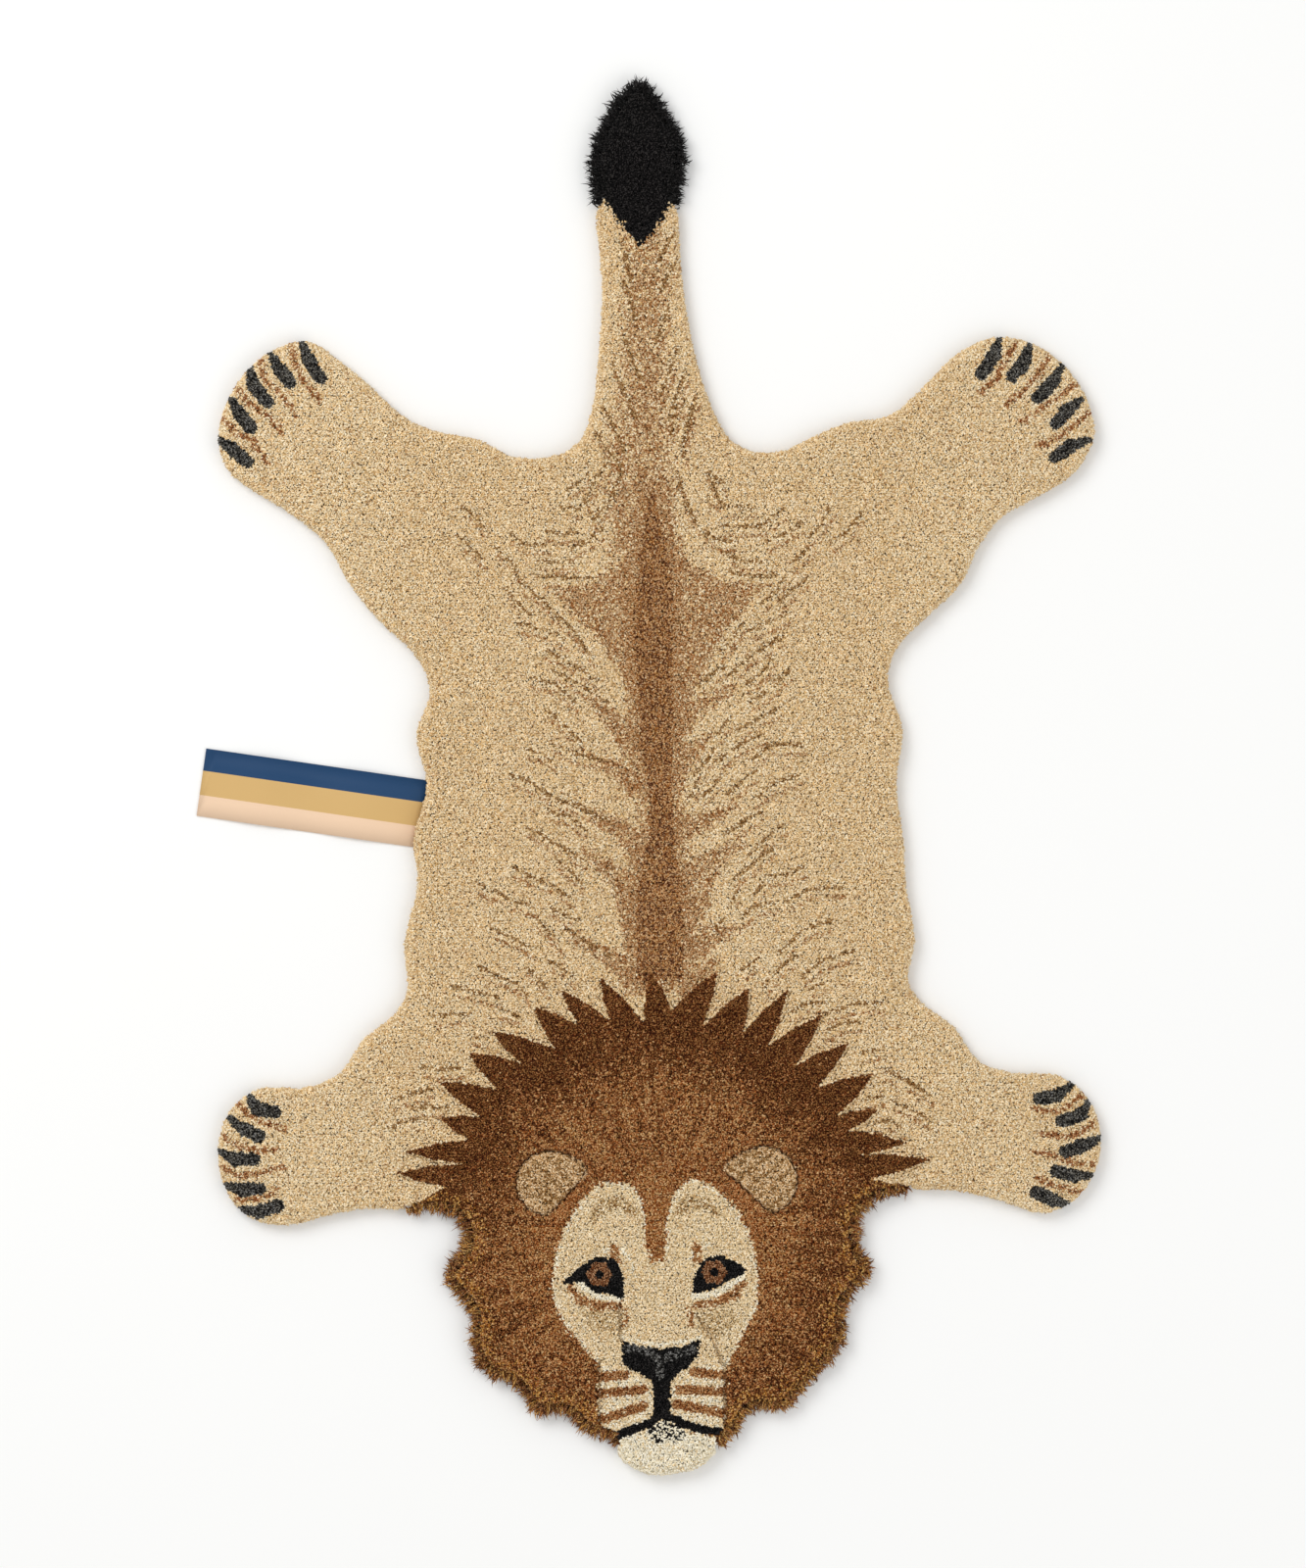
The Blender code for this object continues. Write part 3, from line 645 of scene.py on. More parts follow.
# %% Coat, back and paws
COAT_PATCH, COAT_SEED = 70.0, 3.0
LEGS_FROM, LEGS_FADE = 150.0, 60.0
COAT_MIX = (
    # yarn, share, more in a pale patch, more on the legs
    ("sand", 1.0, 0.0, 0.0),
    ("pale_sand", 0.2, 0.12, 0.3),
    ("deep_sand", 0.2, -0.12, -0.1),
    ("fawn", 0.03, 0.0, 0.0),
)
SPINE_MIX = {"spine_brown": 1.0, "dark_spine": 0.4, "mane_gold": 0.2, "fawn": 0.05}
SPINE_HALO = 8.0
HALO_FADE, STRIP_FADE, SPINE_FADE = 7.0, 12.0, 2.5
HALO_SHADE, STRIP_SHADE, WING_SHADE, ECHO_SHADE = 0.6, 0.5, 0.62, 0.4
WING_STRAY = 1.5
CHEVRON_HALVES, CHEVRON_FADE = (8.5, 6.0, 1.5), 5.0
HAIR_HALF = 1.2
HAIR_LIGHT = 2.4
HAIR_FADE = 2.0
ECHO_SHIFT = (1.5, -6.5)


def dye_coat(dyer):
    """The body: three sands mixed, with cloudy patches of more pale or more deep yarn."""
    patches = cloudy(dyer.spots, COAT_PATCH, COAT_SEED)
    legs = np.clip((np.abs(dyer.spots[:, 0]) - LEGS_FROM) / LEGS_FADE, 0.0, 1.0)
    dyer.blend(COAT_MIX, patches, legs)


def dye_back(dyer):
    """Mottled shade, strokes of hair and the brown spine."""
    hairs = paths_of(HAIRS_LEFT + HAIRS_RIGHT + TAIL_HAIRS)
    dyer.mottle(STRIP_SHADE * fade(band_gap(dyer.spots, TAIL_STRIP), STRIP_FADE))
    dyer.strokes(hairs, ("pale_sand", 0.3, HAIR_HALF + HAIR_LIGHT, 3.0))
    for wing in WINGS:
        dyer.mottle(WING_SHADE * dyer.inside(wing, WING_STRAY))
    for path in paths_of(CHEVRON_ARMS):
        dyer.mottle(WING_SHADE * dyer.along(path, CHEVRON_HALVES, CHEVRON_FADE))
    dyer.mottle(HALO_SHADE * fade(band_gap(dyer.spots, SPINE) - SPINE_HALO, HALO_FADE))
    for path in hairs:
        dyer.mottle(ECHO_SHADE * dyer.along(path + ECHO_SHIFT, HAIR_HALF, HAIR_FADE))
        dyer.strokes([path], ("umber", 0.74, HAIR_HALF, HAIR_FADE))
    spine = fade(band_gap(dyer.spots, SPINE), SPINE_FADE)
    for yarn, share in SPINE_MIX.items():
        dyer.dye(yarn, share * spine)


def dye_paws(dyer):
    """Broken rusty lines between the toes, then the charcoal claws."""
    dyer.strokes(paths_of(TOE_LINES), ("spine_brown", 0.5, 1.9, 2.4), ("rust", 0.42, 1.7, 2.0))
    dyer.strokes(paths_of(CLAWS), ("charcoal", 1.0, CLAW_HALF_WIDTHS, CRISP),
                 ("slate", 0.28, CLAW_HALF_WIDTHS, CRISP), ("black", 0.2, CLAW_HALF_WIDTHS, CRISP))


print(len(COAT_MIX), "yarns in the coat and", len(SPINE_MIX), "in the spine")

# %% Tuft, mane and ears
MANE_MIDDLE = (-3, -300)
MANE_LONG_WAY = 60.0
STREAK_SIZE, STREAK_SEED, STREAK_DRAWN_OUT = 3.2, 8.0, 0.12
LOBE_SIZE, LOBE_SEED, LOBE_DRAWN_OUT, LOBE_REACH = 12.0, 4.0, 0.25, 26.0
DARK_FROM, DARK_FADE = 92.0, 44.0
# Below the middle, the mane's right side takes more dark yarn than its left: painted shade, where that pile
# looks darker in the light.
DARK_ABOVE, DARK_RIGHT_WITH_PAINTED_SHADE, DARK_LEFT = 1.0, 0.75, 0.5
MANE_YARNS = (
    # yarn, share, more where the mane is dark, more in a streak
    ("mane_brown", 1.0, 0.0, 0.0),
    ("mane_warm", 0.52, -0.56, 0.25),
    ("mane_dark", 0.2, 0.66, -0.25),
    ("mane_gold", 0.22, -0.24, 0.12),
)
MANE_HAIRS = 48
MANE_HAIR_ROWS = (
    # yarn, distance of the hair's start from the middle, its length
    ("mane_gold", 62.0, 38.0),
    ("mane_dark", 88.0, 32.0),
)
MANE_HAIR_SWAY, MANE_HAIR_CHANCE, MANE_HAIR_HALVES, MANE_HAIR_FADE = 0.05, 0.4, (0.9, 1.4), 1.5
RIM_GOLD = 0.6
RIM_DEPTH = 15.0
EAR_UMBER = 0.3


def dye_tuft(dyer):
    """The black tuft of the tail, with a ragged edge."""
    dyer.areas([TUFT], ("black", 1.0, 1.3))


def dye_mane(dyer):
    """Dark spikes, a warmer middle, streaks that run out from the face, gold at the shaggy rim, and painted
    shade on the right side below the middle.
    """
    x, y = dyer.spots.T
    head = in_area(dyer.spots, HEAD)
    reach = np.hypot(x - MANE_MIDDLE[0], y - MANE_MIDDLE[1])
    turn = np.arctan2(x - MANE_MIDDLE[0], y - MANE_MIDDLE[1]) * MANE_LONG_WAY
    streaks = cloudy(np.column_stack((turn, reach * STREAK_DRAWN_OUT)), STREAK_SIZE, STREAK_SEED)
    lobes = cloudy(np.column_stack((turn, reach * LOBE_DRAWN_OUT)), LOBE_SIZE, LOBE_SEED)
    weight = np.where(y > MANE_MIDDLE[1], DARK_ABOVE, np.where(x > 0.0, DARK_RIGHT_WITH_PAINTED_SHADE, DARK_LEFT))
    dark = weight * np.clip((reach + LOBE_REACH * lobes - DARK_FROM) / DARK_FADE, 0.0, 1.0)
    dyer.blend(MANE_YARNS, dark, streaks, head)
    for yarn, start, length in MANE_HAIR_ROWS:
        angles = np.linspace(-math.pi, math.pi, MANE_HAIRS)
        for angle in angles + dyer.dice.normal(size=MANE_HAIRS) * MANE_HAIR_SWAY:
            way = np.array((math.sin(angle), math.cos(angle)))
            path = [MANE_MIDDLE + way * (start + length * share) for share in (0.0, 1.0)]
            dyer.dye(yarn, head * MANE_HAIR_CHANCE * dyer.along(path, MANE_HAIR_HALVES, MANE_HAIR_FADE))
    rim = np.full(len(dyer.spots), np.inf)
    for waist in lock_waists[lock_waists[:, 1] < 0.0]:
        rim = np.minimum(rim, np.hypot(x - waist[0], y - waist[1]))
    dyer.dye("rim_gold", head * np.clip(RIM_GOLD * (1.0 - rim / RIM_DEPTH), 0.0, 1.0))
    dyer.strokes(BROW_BANDS, ("mane_warm", 0.75, 4.5, 5.0))


def dye_ears(dyer):
    """Ears of khaki mottled with brown, with a few streaks that point at the face."""
    x, y = dyer.spots.T
    for ear_x, ear_y, radius, point, side, side_turn in EARS:
        turn = np.arctan2(y - ear_y, x - ear_x)
        lead = np.maximum(0.0, np.cos(turn - math.radians(point))) ** EAR_POINT_SHARPNESS
        towards_side = np.maximum(TINY, np.cos(turn - math.radians(side_turn)))
        reach = np.minimum(radius * (1.0 + EAR_POINT * lead), side / towards_side)
        ear = np.hypot(x - ear_x, y - ear_y) < reach
        dyer.dye("ear_khaki", ear)
        dyer.dye("umber", EAR_UMBER * ear)
    dyer.strokes(paths_of(EAR_HAIRS), ("umber", 0.7, 1.3, 2.4))


print(MANE_HAIRS * len(MANE_HAIR_ROWS), "hairs in the mane")

# %% Face, muzzle and eyes
FACE_EDGE_CREAM, FACE_EDGE_HALF, FACE_EDGE_FADE = 0.35, 2.5, 3.0
IRIS_PETALS, IRIS_PETAL_DEPTH = 6.0, 0.6


def dye_face(dyer):
    """The sand coloured face with its shades."""
    dyer.areas([FACE], ("face_sand", 1.0, 1.3), ("pale_sand", 0.14, CLOSE), ("deep_sand", 0.1, CLOSE))
    edge = dyer.along(FACE, FACE_EDGE_HALF, FACE_EDGE_FADE)
    dyer.dye("cream", FACE_EDGE_CREAM * in_area(dyer.spots, FACE) * edge)
    dyer.areas(CHEEK_SHADES, ("olive", 0.5, 2.0))
    dyer.strokes(BROWS, ("olive", 0.5, (2.5, 4.2, 4.4, 2.5), 2.5), ("umber", 0.26, (2.0, 3.6, 3.8, 2.0), 2.5))
    dyer.areas([NOSE_BRIDGE], ("mane_warm", 1.0, 1.3), ("mane_brown", 0.3, CLOSE), ("mane_gold", 0.4, CLOSE))
    dyer.strokes(EYE_TOPS, ("cream", 0.6, 1.3, 2.0))
    dyer.strokes(EYE_CORNERS, ("spine_brown", 0.85, 3.0, 1.5))
    dyer.strokes(NOSE_SIDES, ("spine_brown", 0.6, 2.0, 2.0))
    dyer.strokes(UNDER_EYES, ("spine_brown", 0.85, (1.5, 3.2, 3.4, 2.0), 2.5),
                 ("mane_brown", 0.35, (1.5, 2.0, 2.2, 1.5), 2.5))


def dye_muzzle(dyer):
    """Cream pads with brown stripes, the chin, the mouth and the nose."""
    dyer.areas(MUZZLE_PADS, ("face_sand", 1.0, CLOSE), ("cream", 0.4, CLOSE))
    dyer.strokes(WHISKER_STRIPES, ("spine_brown", 0.95, 3.1, 1.2), ("mane_brown", 0.45, 2.6, 1.2))
    dyer.areas([CHIN], ("cream", 1.0, CLOSE), ("pale_sand", 0.12, CLOSE))
    dyer.areas([UNDER_MOUTH], ("cream", 1.0, CLOSE), ("black", 0.45, CLOSE))
    dyer.strokes([MOUTH], ("black", 1.0, 2.8, CRISP))
    dyer.strokes([NOSE_TOP], ("cream", 0.8, 1.2, CRISP))
    dyer.areas([NOSE], ("black", 1.0, CLOSE))
    dyer.strokes(NOSE_LIGHTS, ("slate", 0.74, 2.8, CRISP))


def dye_eyes(dyer):
    """Black almonds with a brown iris round a black pupil, over a cream lower lid."""
    dyer.strokes(LOWER_LIDS, ("cream", 1.0, 1.9, CRISP))
    dyer.areas(EYES, ("black", 1.0, CLOSE))
    for spot in IRISES:
        x, y = (dyer.spots - spot).T
        out = np.hypot(x, y)
        dyer.dye("iris", out < IRIS_RADIUS + IRIS_PETAL_DEPTH * np.cos(IRIS_PETALS * np.arctan2(y, x)))
        dyer.dye("black", out < PUPIL_RADIUS)


def yarns_at(spots):
    """The number of the yarn at each spot, dyed from the ground tone up to the eyes."""
    dyer = Dyer(spots, SEED)
    for step in (dye_coat, dye_back, dye_paws, dye_tuft, dye_mane, dye_ears, dye_face, dye_muzzle, dye_eyes):
        step(dyer)
    return dyer.yarn


pupil = yarns_at(np.array(IRISES[:1]))[0]
print("the yarn in the middle of an eye is", YARN_NAMES[pupil])


# %% [markdown]
# ## Where the tufts stand
#
# A tufting tool sets its tufts in close, slightly uneven rows. A grid with every second row shifted by
# half a step and a little jitter looks just like that. A ray cast down from above each spot finds the
# height and the slope of the slab, so the tufts follow the carved grooves and lean out at the edge.

# %% Rows of tufts over the top
TUFT_PITCH = 2.2
JITTER = 0.16
STEEPEST = 0.45
RAY_START = 0.1
DOWN = Vector((0, 0, -1))


def rows_of_spots(low, high, dice):
    """Spots in close rows, every second row shifted by half a step, with a little jitter."""
    ys = np.arange(low[1], high[1], TUFT_PITCH * math.sqrt(0.75))
    xs = np.arange(low[0], high[0], TUFT_PITCH)
    grid_x, grid_y = np.meshgrid(xs, ys)
    grid_x[1::2] += TUFT_PITCH / 2.0
    spots = np.column_stack((grid_x.ravel(), grid_y.ravel()))
    return spots + dice.uniform(-JITTER, JITTER, spots.shape) * TUFT_PITCH


def plant_top(dice):
    """Places and slopes of the tufts on the top of the slab, in millimetres."""
    places, slopes = [], []
    for x, y in rows_of_spots(np.array(rug_low) / MM, np.array(rug_high) / MM, dice):
        place, slope, _, _ = slab_tree.ray_cast(Vector((x * MM, y * MM, RAY_START)), DOWN)
        if place and slope.z > STEEPEST:
            places.append(place / MM)
            slopes.append(slope)
    return np.array(places), np.array(slopes)


dice = np.random.default_rng(SEED)
top_places, top_slopes = plant_top(dice)
print(len(top_places), "tufts on the top")

# %% [markdown]
# The edge is tufted too: the outermost rows splay outwards over the backing cloth and hide it. There we
# scatter spots over the steep faces of the slab and keep only those that aren't crowded, which spaces
# them as evenly as the grid does. Behind the shaggy locks none are needed.

# %% Tufts down the side of the edge
CROWDED = 0.78
PICKS_A_TUFT = 6.0
SHAGGY_CLEARANCE = 6.0
UNDERSIDE = -0.9


def picks_on(face, dice):
    """Random places on a face, in millimetres, several for each tuft that it has room for."""
    a, b, c = (np.array(vert.co) / MM for vert in face.verts)
    count = face.calc_area() / MM ** 2 / TUFT_PITCH ** 2 * PICKS_A_TUFT
    places = []
    for _ in range(int(count) + (dice.random() < count % 1.0)):
        u, v = dice.random(2)
        if u + v > 1.0:
            u, v = 1.0 - u, 1.0 - v
        places.append(a + u * (b - a) + v * (c - a))
    return places


def scatter_on_side(dice, avoid):
    """Places and slopes of the tufts on the steep faces of the edge, spaced apart."""
    apart = CROWDED * TUFT_PITCH
    steep = [face for face in slab.faces if UNDERSIDE < face.normal.z < STEEPEST]
    picks = [(place, np.array(face.normal)) for face in steep for place in picks_on(face, dice)]
    taken, places, slopes = {}, [], []
    for i in dice.permutation(len(picks)):
        place, slope = picks[i]
        cell = tuple((place // apart).astype(int))
        near = [p for dx in (-1, 0, 1) for dy in (-1, 0, 1) for dz in (-1, 0, 1)
                for p in taken.get((cell[0] + dx, cell[1] + dy, cell[2] + dz), ())]
        if near and min(((place - p) @ (place - p)) for p in near) < apart ** 2:
            continue
        taken.setdefault(cell, []).append(place)
        if np.min(np.sum((avoid[:, :2] - place[:2]) ** 2, axis=1)) < SHAGGY_CLEARANCE ** 2:
            continue
        places.append(place)
        slopes.append(slope)
    return np.array(places), np.array(slopes)


side_places, side_slopes = scatter_on_side(dice, lock_roots)
print(len(side_places), "tufts down the side")

# %% [markdown]
# ## One tuft
#
# A cut tuft opens like a small brush: the strands of its yarn stand apart at the top and are pinched
# together at the root. A strand is a three-sided wedge, wide at the cut and pointed at the root, which
# bmesh makes as a cone turned upside down, and three of them stand together in a tuft. Twelve faces are
# enough, because a tuft is three or four dots wide in the picture. A dozen tufts that differ a little are
# modelled, and each planted tuft is a turned copy of one of them.

# %% A strand, and a dozen model tufts
STRANDS = 3
STRAND_RADIUS = 1.12
STRAND_WIDTHS = (0.85, 1.15)
STRAND_SPREAD = 0.66
STRAND_TURN = 0.3
TONE_RANGE = (0.95, 1.05)
CUT_UNEVEN = 0.28
CUT_TILT = 0.2
ROOT_SPREAD = 0.1
# The root of each strand is darkened: painted shade, as little light gets down between the tufts.
ROOT_PAINTED_SHADE = 0.72
VARIANTS = 12


def slim_cone(foot, head):
    """A three-sided cone of height 1 with its pointed end closed."""
    bm = bmesh.new()
    bmesh.ops.create_cone(bm, cap_ends=True, segments=3, radius1=foot, radius2=head, depth=1.0)
    bmesh.ops.remove_doubles(bm, verts=bm.verts, dist=TINY)
    return bm


def arrays_of(bm):
    """The corners and the faces of a small shape as arrays."""
    bmesh.ops.triangulate(bm, faces=bm.faces)
    bm.verts.index_update()
    corners = np.array([vert.co[:] for vert in bm.verts])
    faces = np.array([[vert.index for vert in face.verts] for face in bm.faces])
    bm.free()
    return corners, faces


def model_tuft(dice):
    """The corners of one tuft's strands in millimetres, with the cut at height 0, and their tones."""
    corners, tones = [], []
    first_turn = dice.uniform(0.0, math.tau)
    for strand in range(STRANDS):
        turn = dice.uniform(0.0, math.tau)
        angle = first_turn + math.tau * strand / STRANDS + dice.uniform(-STRAND_TURN, STRAND_TURN)
        out = np.array([math.cos(angle), math.sin(angle)])
        across = np.array([[math.cos(turn), math.sin(turn)], [-math.sin(turn), math.cos(turn)]])
        place = np.zeros_like(STRAND)
        width = STRAND_RADIUS * dice.uniform(*STRAND_WIDTHS)
        place[:, :2] = STRAND[:, :2] @ across * width + STRAND_SPREAD * out
        place[:, 2] = dice.uniform(-CUT_UNEVEN, CUT_UNEVEN) + dice.uniform(-CUT_TILT, CUT_TILT, len(STRAND))
        place[~AT_CUT, :2] = ROOT_SPREAD * out
        corners.append(place)
        tones.append(dice.uniform(*TONE_RANGE))
    return corners, tones


STRAND, STRAND_FACES = arrays_of(slim_cone(0.0, 1.0))
AT_CUT = STRAND[:, 2] > 0.0
# Each strand's corners: 1 at the cut, painted shade at the root.
STRAND_PAINTED_SHADES = np.where(AT_CUT, 1.0, ROOT_PAINTED_SHADE)
MODEL_CORNERS, MODEL_TONES = map(np.array, zip(*(model_tuft(dice) for _ in range(VARIANTS))))
print(STRANDS, "strands of", len(STRAND_FACES), "faces in each of", VARIANTS, "model tufts")

# %% [markdown]
# ## From arrays to meshes
#
# Nearly seventy thousand tufts are too many to copy one by one, but numpy moves them all at once: every model
# corner times a small frame of three directions, plus a place. The yarn's colour goes into the mesh as a
# colour attribute, darker at the root, because little light gets down there.
#
# The flat map of such a mesh is best drawn up like a dyer's chart. All strands are ranked by
# colour, and equal ones share a square of the chart, the palest last. When the colours are baked to a
# picture of limited size, a square is still many pixels wide, so no strand takes on another's colour.

# %% Mesh builder
CHART_COLUMNS = 24
CELL_MARGIN = 0.12
CHART_CORNERS = (0.0, 1.0, 0.5)
CHART_CUT_LEVELS = (0.7, 0.7, 1.0)


def add_mesh(name, corners, faces, colours, uvs, material):
    """A mesh object from arrays: corners in metres, three corners a face, linear colours."""
    mesh = bpy.data.meshes.new(name)
    mesh.vertices.add(len(corners))
    mesh.vertices.foreach_set("co", np.ascontiguousarray(corners, np.float32).ravel())
    mesh.loops.add(faces.size)
    mesh.loops.foreach_set("vertex_index", np.ascontiguousarray(faces, np.int32).ravel())
    mesh.polygons.add(len(faces))
    mesh.polygons.foreach_set("loop_start", np.arange(0, faces.size, 3, dtype=np.int32))
    mesh.update(calc_edges=True)
    layer = mesh.color_attributes.new("yarn", "FLOAT_COLOR", "POINT")
    opaque = np.column_stack((colours, np.ones(len(colours))))
    layer.data.foreach_set("color", np.ascontiguousarray(opaque, np.float32).ravel())
    flat_map = mesh.uv_layers.new(name="OFBake")
    flat_map.data.foreach_set("uv", np.ascontiguousarray(uvs, np.float32).ravel())
    mesh.materials.append(material)
    piece = bpy.data.objects.new(name, mesh)
    bpy.context.collection.objects.link(piece)
    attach(piece, "root")
    return piece


def chart_places(ranks, faces, level):
    """Places on the chart for strands of the same faces. ranks put them in order of colour, and
    level is how far up its square each corner lies, from 0 to 1. A cut end takes the top of the square.
    """
    square = ranks * CHART_COLUMNS ** 2 // len(ranks)
    corner = np.stack((square % CHART_COLUMNS, square // CHART_COLUMNS), axis=-1)
    across = np.tile(CHART_CORNERS, (len(faces), 1))
    up = level[faces]
    up[np.ptp(up, axis=1) < TINY] = CHART_CUT_LEVELS
    spot = np.stack((across, up), axis=-1) * (1.0 - 2.0 * CELL_MARGIN) + CELL_MARGIN
    return (corner[:, None, None, :] + spot[None]) / CHART_COLUMNS


def add_strands(name, corners, faces, level, colours, tones, material):
    """A piece of many equal strands. corners: strands by corners, colours: one a strand, tones: painted shade
    at each corner.
    """
    count, size = corners.shape[:2]
    order = np.lexsort((colours.sum(axis=1), colours[:, 0].round(1)))
    ranks = np.empty(count, int)
    ranks[order] = np.arange(count)
    uvs = chart_places(ranks, faces, level)
    all_faces = faces[None] + np.arange(count)[:, None, None] * size
    shaded = colours[:, None] * tones[None, :, None]
    print(name, count, "strands,", count * len(faces), "triangles")
    return add_mesh(name, corners.reshape(-1, 3) * MM, all_faces.reshape(-1, 3), shaded.reshape(-1, 3),
                    uvs.reshape(-1, 2), material)


def frames_round(axes, dice):
    """Two directions across each axis, turned at random."""
    first = np.cross(axes, dice.normal(size=axes.shape))
    first /= np.linalg.norm(first, axis=1, keepdims=True)
    return first, np.cross(axes, first)


print("a flat map of", CHART_COLUMNS ** 2, "squares")

# %% [markdown]
# ## The wool
#
# Cut wool pile is matt: light goes in between the fibres and comes back soft, with a faint pale bloom at
# grazing angles. So the material is very rough, hardly specular, and has a trace of sheen. Its colour
# comes from the yarn attribute, and a fine noise stands for the fibres. Each fibre took the dye a little
# differently and lies a little deeper or higher. So the noise makes the colour deeper and darker, or
# paler and lighter, and it tilts the light. Real fibres are far finer than a dot of the picture, so the
# noise is drawn coarser, at 0.85 mm, where it shows.

# %% Wool material
FIBRE_SIZE = 0.85 * MM
FIBRE_DEPTH = 0.25 * MM
FIBRE_RELIEF = 0.5
FIBRE_RANGE = (0.36, 0.64)
FIBRE_CONTRAST = (0.79, 1.06)
FIBRE_DEEPENING = (1.5, 0.62)
WOOL_SURFACE = {"Roughness": 0.95, "Specular IOR Level": 0.1, "Sheen Weight": 0.06, "Sheen Roughness": 0.5}


def build_wool():
    """Cut pile of dyed wool yarn: matt, with a grain of lighter and deeper fibres."""
    material, tree, shader = start_material("dyed_wool_cut_pile", WOOL_SURFACE)
    yarn = add_node(tree, "ShaderNodeAttribute", {"attribute_name": "yarn"})
    grain = add_node(tree, "ShaderNodeTexNoise",
                     inputs={"Vector": object_place(tree), "Scale": 1.0 / FIBRE_SIZE, "Detail": 0.0})
    fibres = grain.outputs["Fac"]
    # The power makes a dye richer or paler without turning it grey, and the tone then sets its lightness.
    power = carried_over(tree, fibres, FIBRE_DEEPENING, FIBRE_RANGE)
    dye = add_node(tree, "ShaderNodeGamma", inputs={"Color": yarn.outputs["Color"], "Gamma": power})
    tone = carried_over(tree, fibres, FIBRE_CONTRAST, FIBRE_RANGE)
    tree.links.new(toned_colour(tree, dye.outputs["Color"], tone), shader.inputs["Base Color"])
    add_relief(tree, shader, fibres, FIBRE_RELIEF, FIBRE_DEPTH)
    return material


wool = build_wool()
print(wool.name)

# %% [markdown]
# ## Planting the tufts
#
# Tufts stand upright on the flat, follow the slope at the shoulder of the edge and lean a little with
# their neighbours, because a rug is walked on and rolled up. The lean drifts slowly over the rug. The
# shears leave them level, but never quite.

# %% Plant
TUFT_DEPTH = 8.0
SHALLOWEST = 3.0
LOWEST_ROOT = 1.2
LOWEST_CUT = 0.7
LOWEST_CORNER = 0.3
UPRIGHT_SHARE = 0.35
STEEP_AXIS = 0.25
LEAN_PATCH = 26.0
LEAN_SEEDS = (21.0, 37.0)
LEAN = 0.17
OWN_LEAN = 0.06
SHEAR_UNEVEN = 0.18
SHEARED_SINK = 0.5
YARN_UNEVEN = 0.055


def plant(places, slopes, dice):
    """Corners of all strands of all tufts, as arrays of tufts by strands by corners, and their tones."""
    spots = places[:, :2]
    carved = np.zeros(len(spots))
    for path in CARVED_LINES:
        carved = np.maximum(carved, fade(line_gap(spots, path, CARVED_HALF), CRISP))
    lean = np.column_stack([cloudy(spots, LEAN_PATCH, seed) for seed in LEAN_SEEDS]) * LEAN
    lean += dice.normal(size=spots.shape) * OWN_LEAN
    axes = slopes * (1.0 - UPRIGHT_SHARE) + np.array([0.0, 0.0, UPRIGHT_SHARE])
    axes[:, :2] += lean
    axes /= np.linalg.norm(axes, axis=1, keepdims=True)
    sink = SHEARED_SINK + CARVED_DEPTH * carved + dice.uniform(-1.0, 1.0, len(spots)) * SHEAR_UNEVEN
    cuts = places - axes * sink[:, None]
    cuts[:, 2] = np.maximum(cuts[:, 2], LOWEST_CUT)
    room = (cuts[:, 2] - LOWEST_ROOT) / np.maximum(axes[:, 2], STEEP_AXIS)
    depth = np.maximum(np.minimum(TUFT_DEPTH, room), SHALLOWEST)
    first, second = (direction[:, None, None] for direction in frames_round(axes, dice))
    kind = dice.integers(VARIANTS, size=len(spots))
    local = MODEL_CORNERS[kind].copy()
    local[:, :, ~AT_CUT, 2] = -depth[:, None, None]
    corners = cuts[:, None, None] + local[..., :1] * first + local[..., 1:2] * second
    corners += local[..., 2:] * axes[:, None, None]
    corners[..., 2] = np.maximum(corners[..., 2], LOWEST_CORNER)
    return corners, MODEL_TONES[kind] * (1.0 + dice.normal(size=(len(spots), 1)) * YARN_UNEVEN)


places = np.concatenate((top_places, side_places))
slopes = np.concatenate((top_slopes, side_slopes))
tufts, tuft_tones = plant(places, slopes, dice)
strands = tufts.reshape(-1, len(STRAND), 3)
strand_yarns = yarns_at(strands[:, AT_CUT, :2].mean(axis=1))
strand_colours = YARN_COLOURS[strand_yarns] * tuft_tones.reshape(-1, 1)
print(len(places), "tufts,", len(strands), "strands,", len(strands) * len(STRAND_FACES), "triangles")

# %% Pile pieces, one for each part of the animal
REGION_NAMES = ("pile_tail_tuft", "pile_tail", "pile_hindquarters", "pile_back", "pile_left_shoulder",
                "pile_right_shoulder", "pile_mane", "pile_face")
TAIL_FROM, TAIL_HALF = 205.0, 70.0
HINDQUARTERS_FROM = 150.0
BACK_FROM = -20.0
FACE_TO, FACE_HALF = -262.0, 80.0
CUT_LEVEL = 0.7


def regions_of(places):
    """The part of the animal that each tuft belongs to, as a number into REGION_NAMES."""
    x, y = places[:, :2].T
    parts = [in_area(places[:, :2], TUFT), (y > TAIL_FROM) & (np.abs(x) < TAIL_HALF), y > HINDQUARTERS_FROM,
             y > BACK_FROM, x < 0.0]
    region = np.select(parts, list(range(len(parts))), len(parts))
    head = in_area(places[:, :2], HEAD)
    region[head] = REGION_NAMES.index("pile_mane")
    region[head & (y < FACE_TO) & (np.abs(x) < FACE_HALF)] = REGION_NAMES.index("pile_face")
    return region


region = np.repeat(regions_of(places), STRANDS)
for number, name in enumerate(REGION_NAMES):
    chosen = region == number
    add_strands(name, strands[chosen], STRAND_FACES, AT_CUT * CUT_LEVEL, strand_colours[chosen],
                            STRAND_PAINTED_SHADES, wool)

# %% [markdown]
# ## The shaggy rim
#
# Round the mane and the tail's tuft the maker leaves the yarn long and unsheared, so it hangs over the
# edge in small locks. Each lock of the solid becomes a bundle of fine tapered strands. They start
# inside the rug, run through the lock's waist and end near its tip, a little apart from each other.

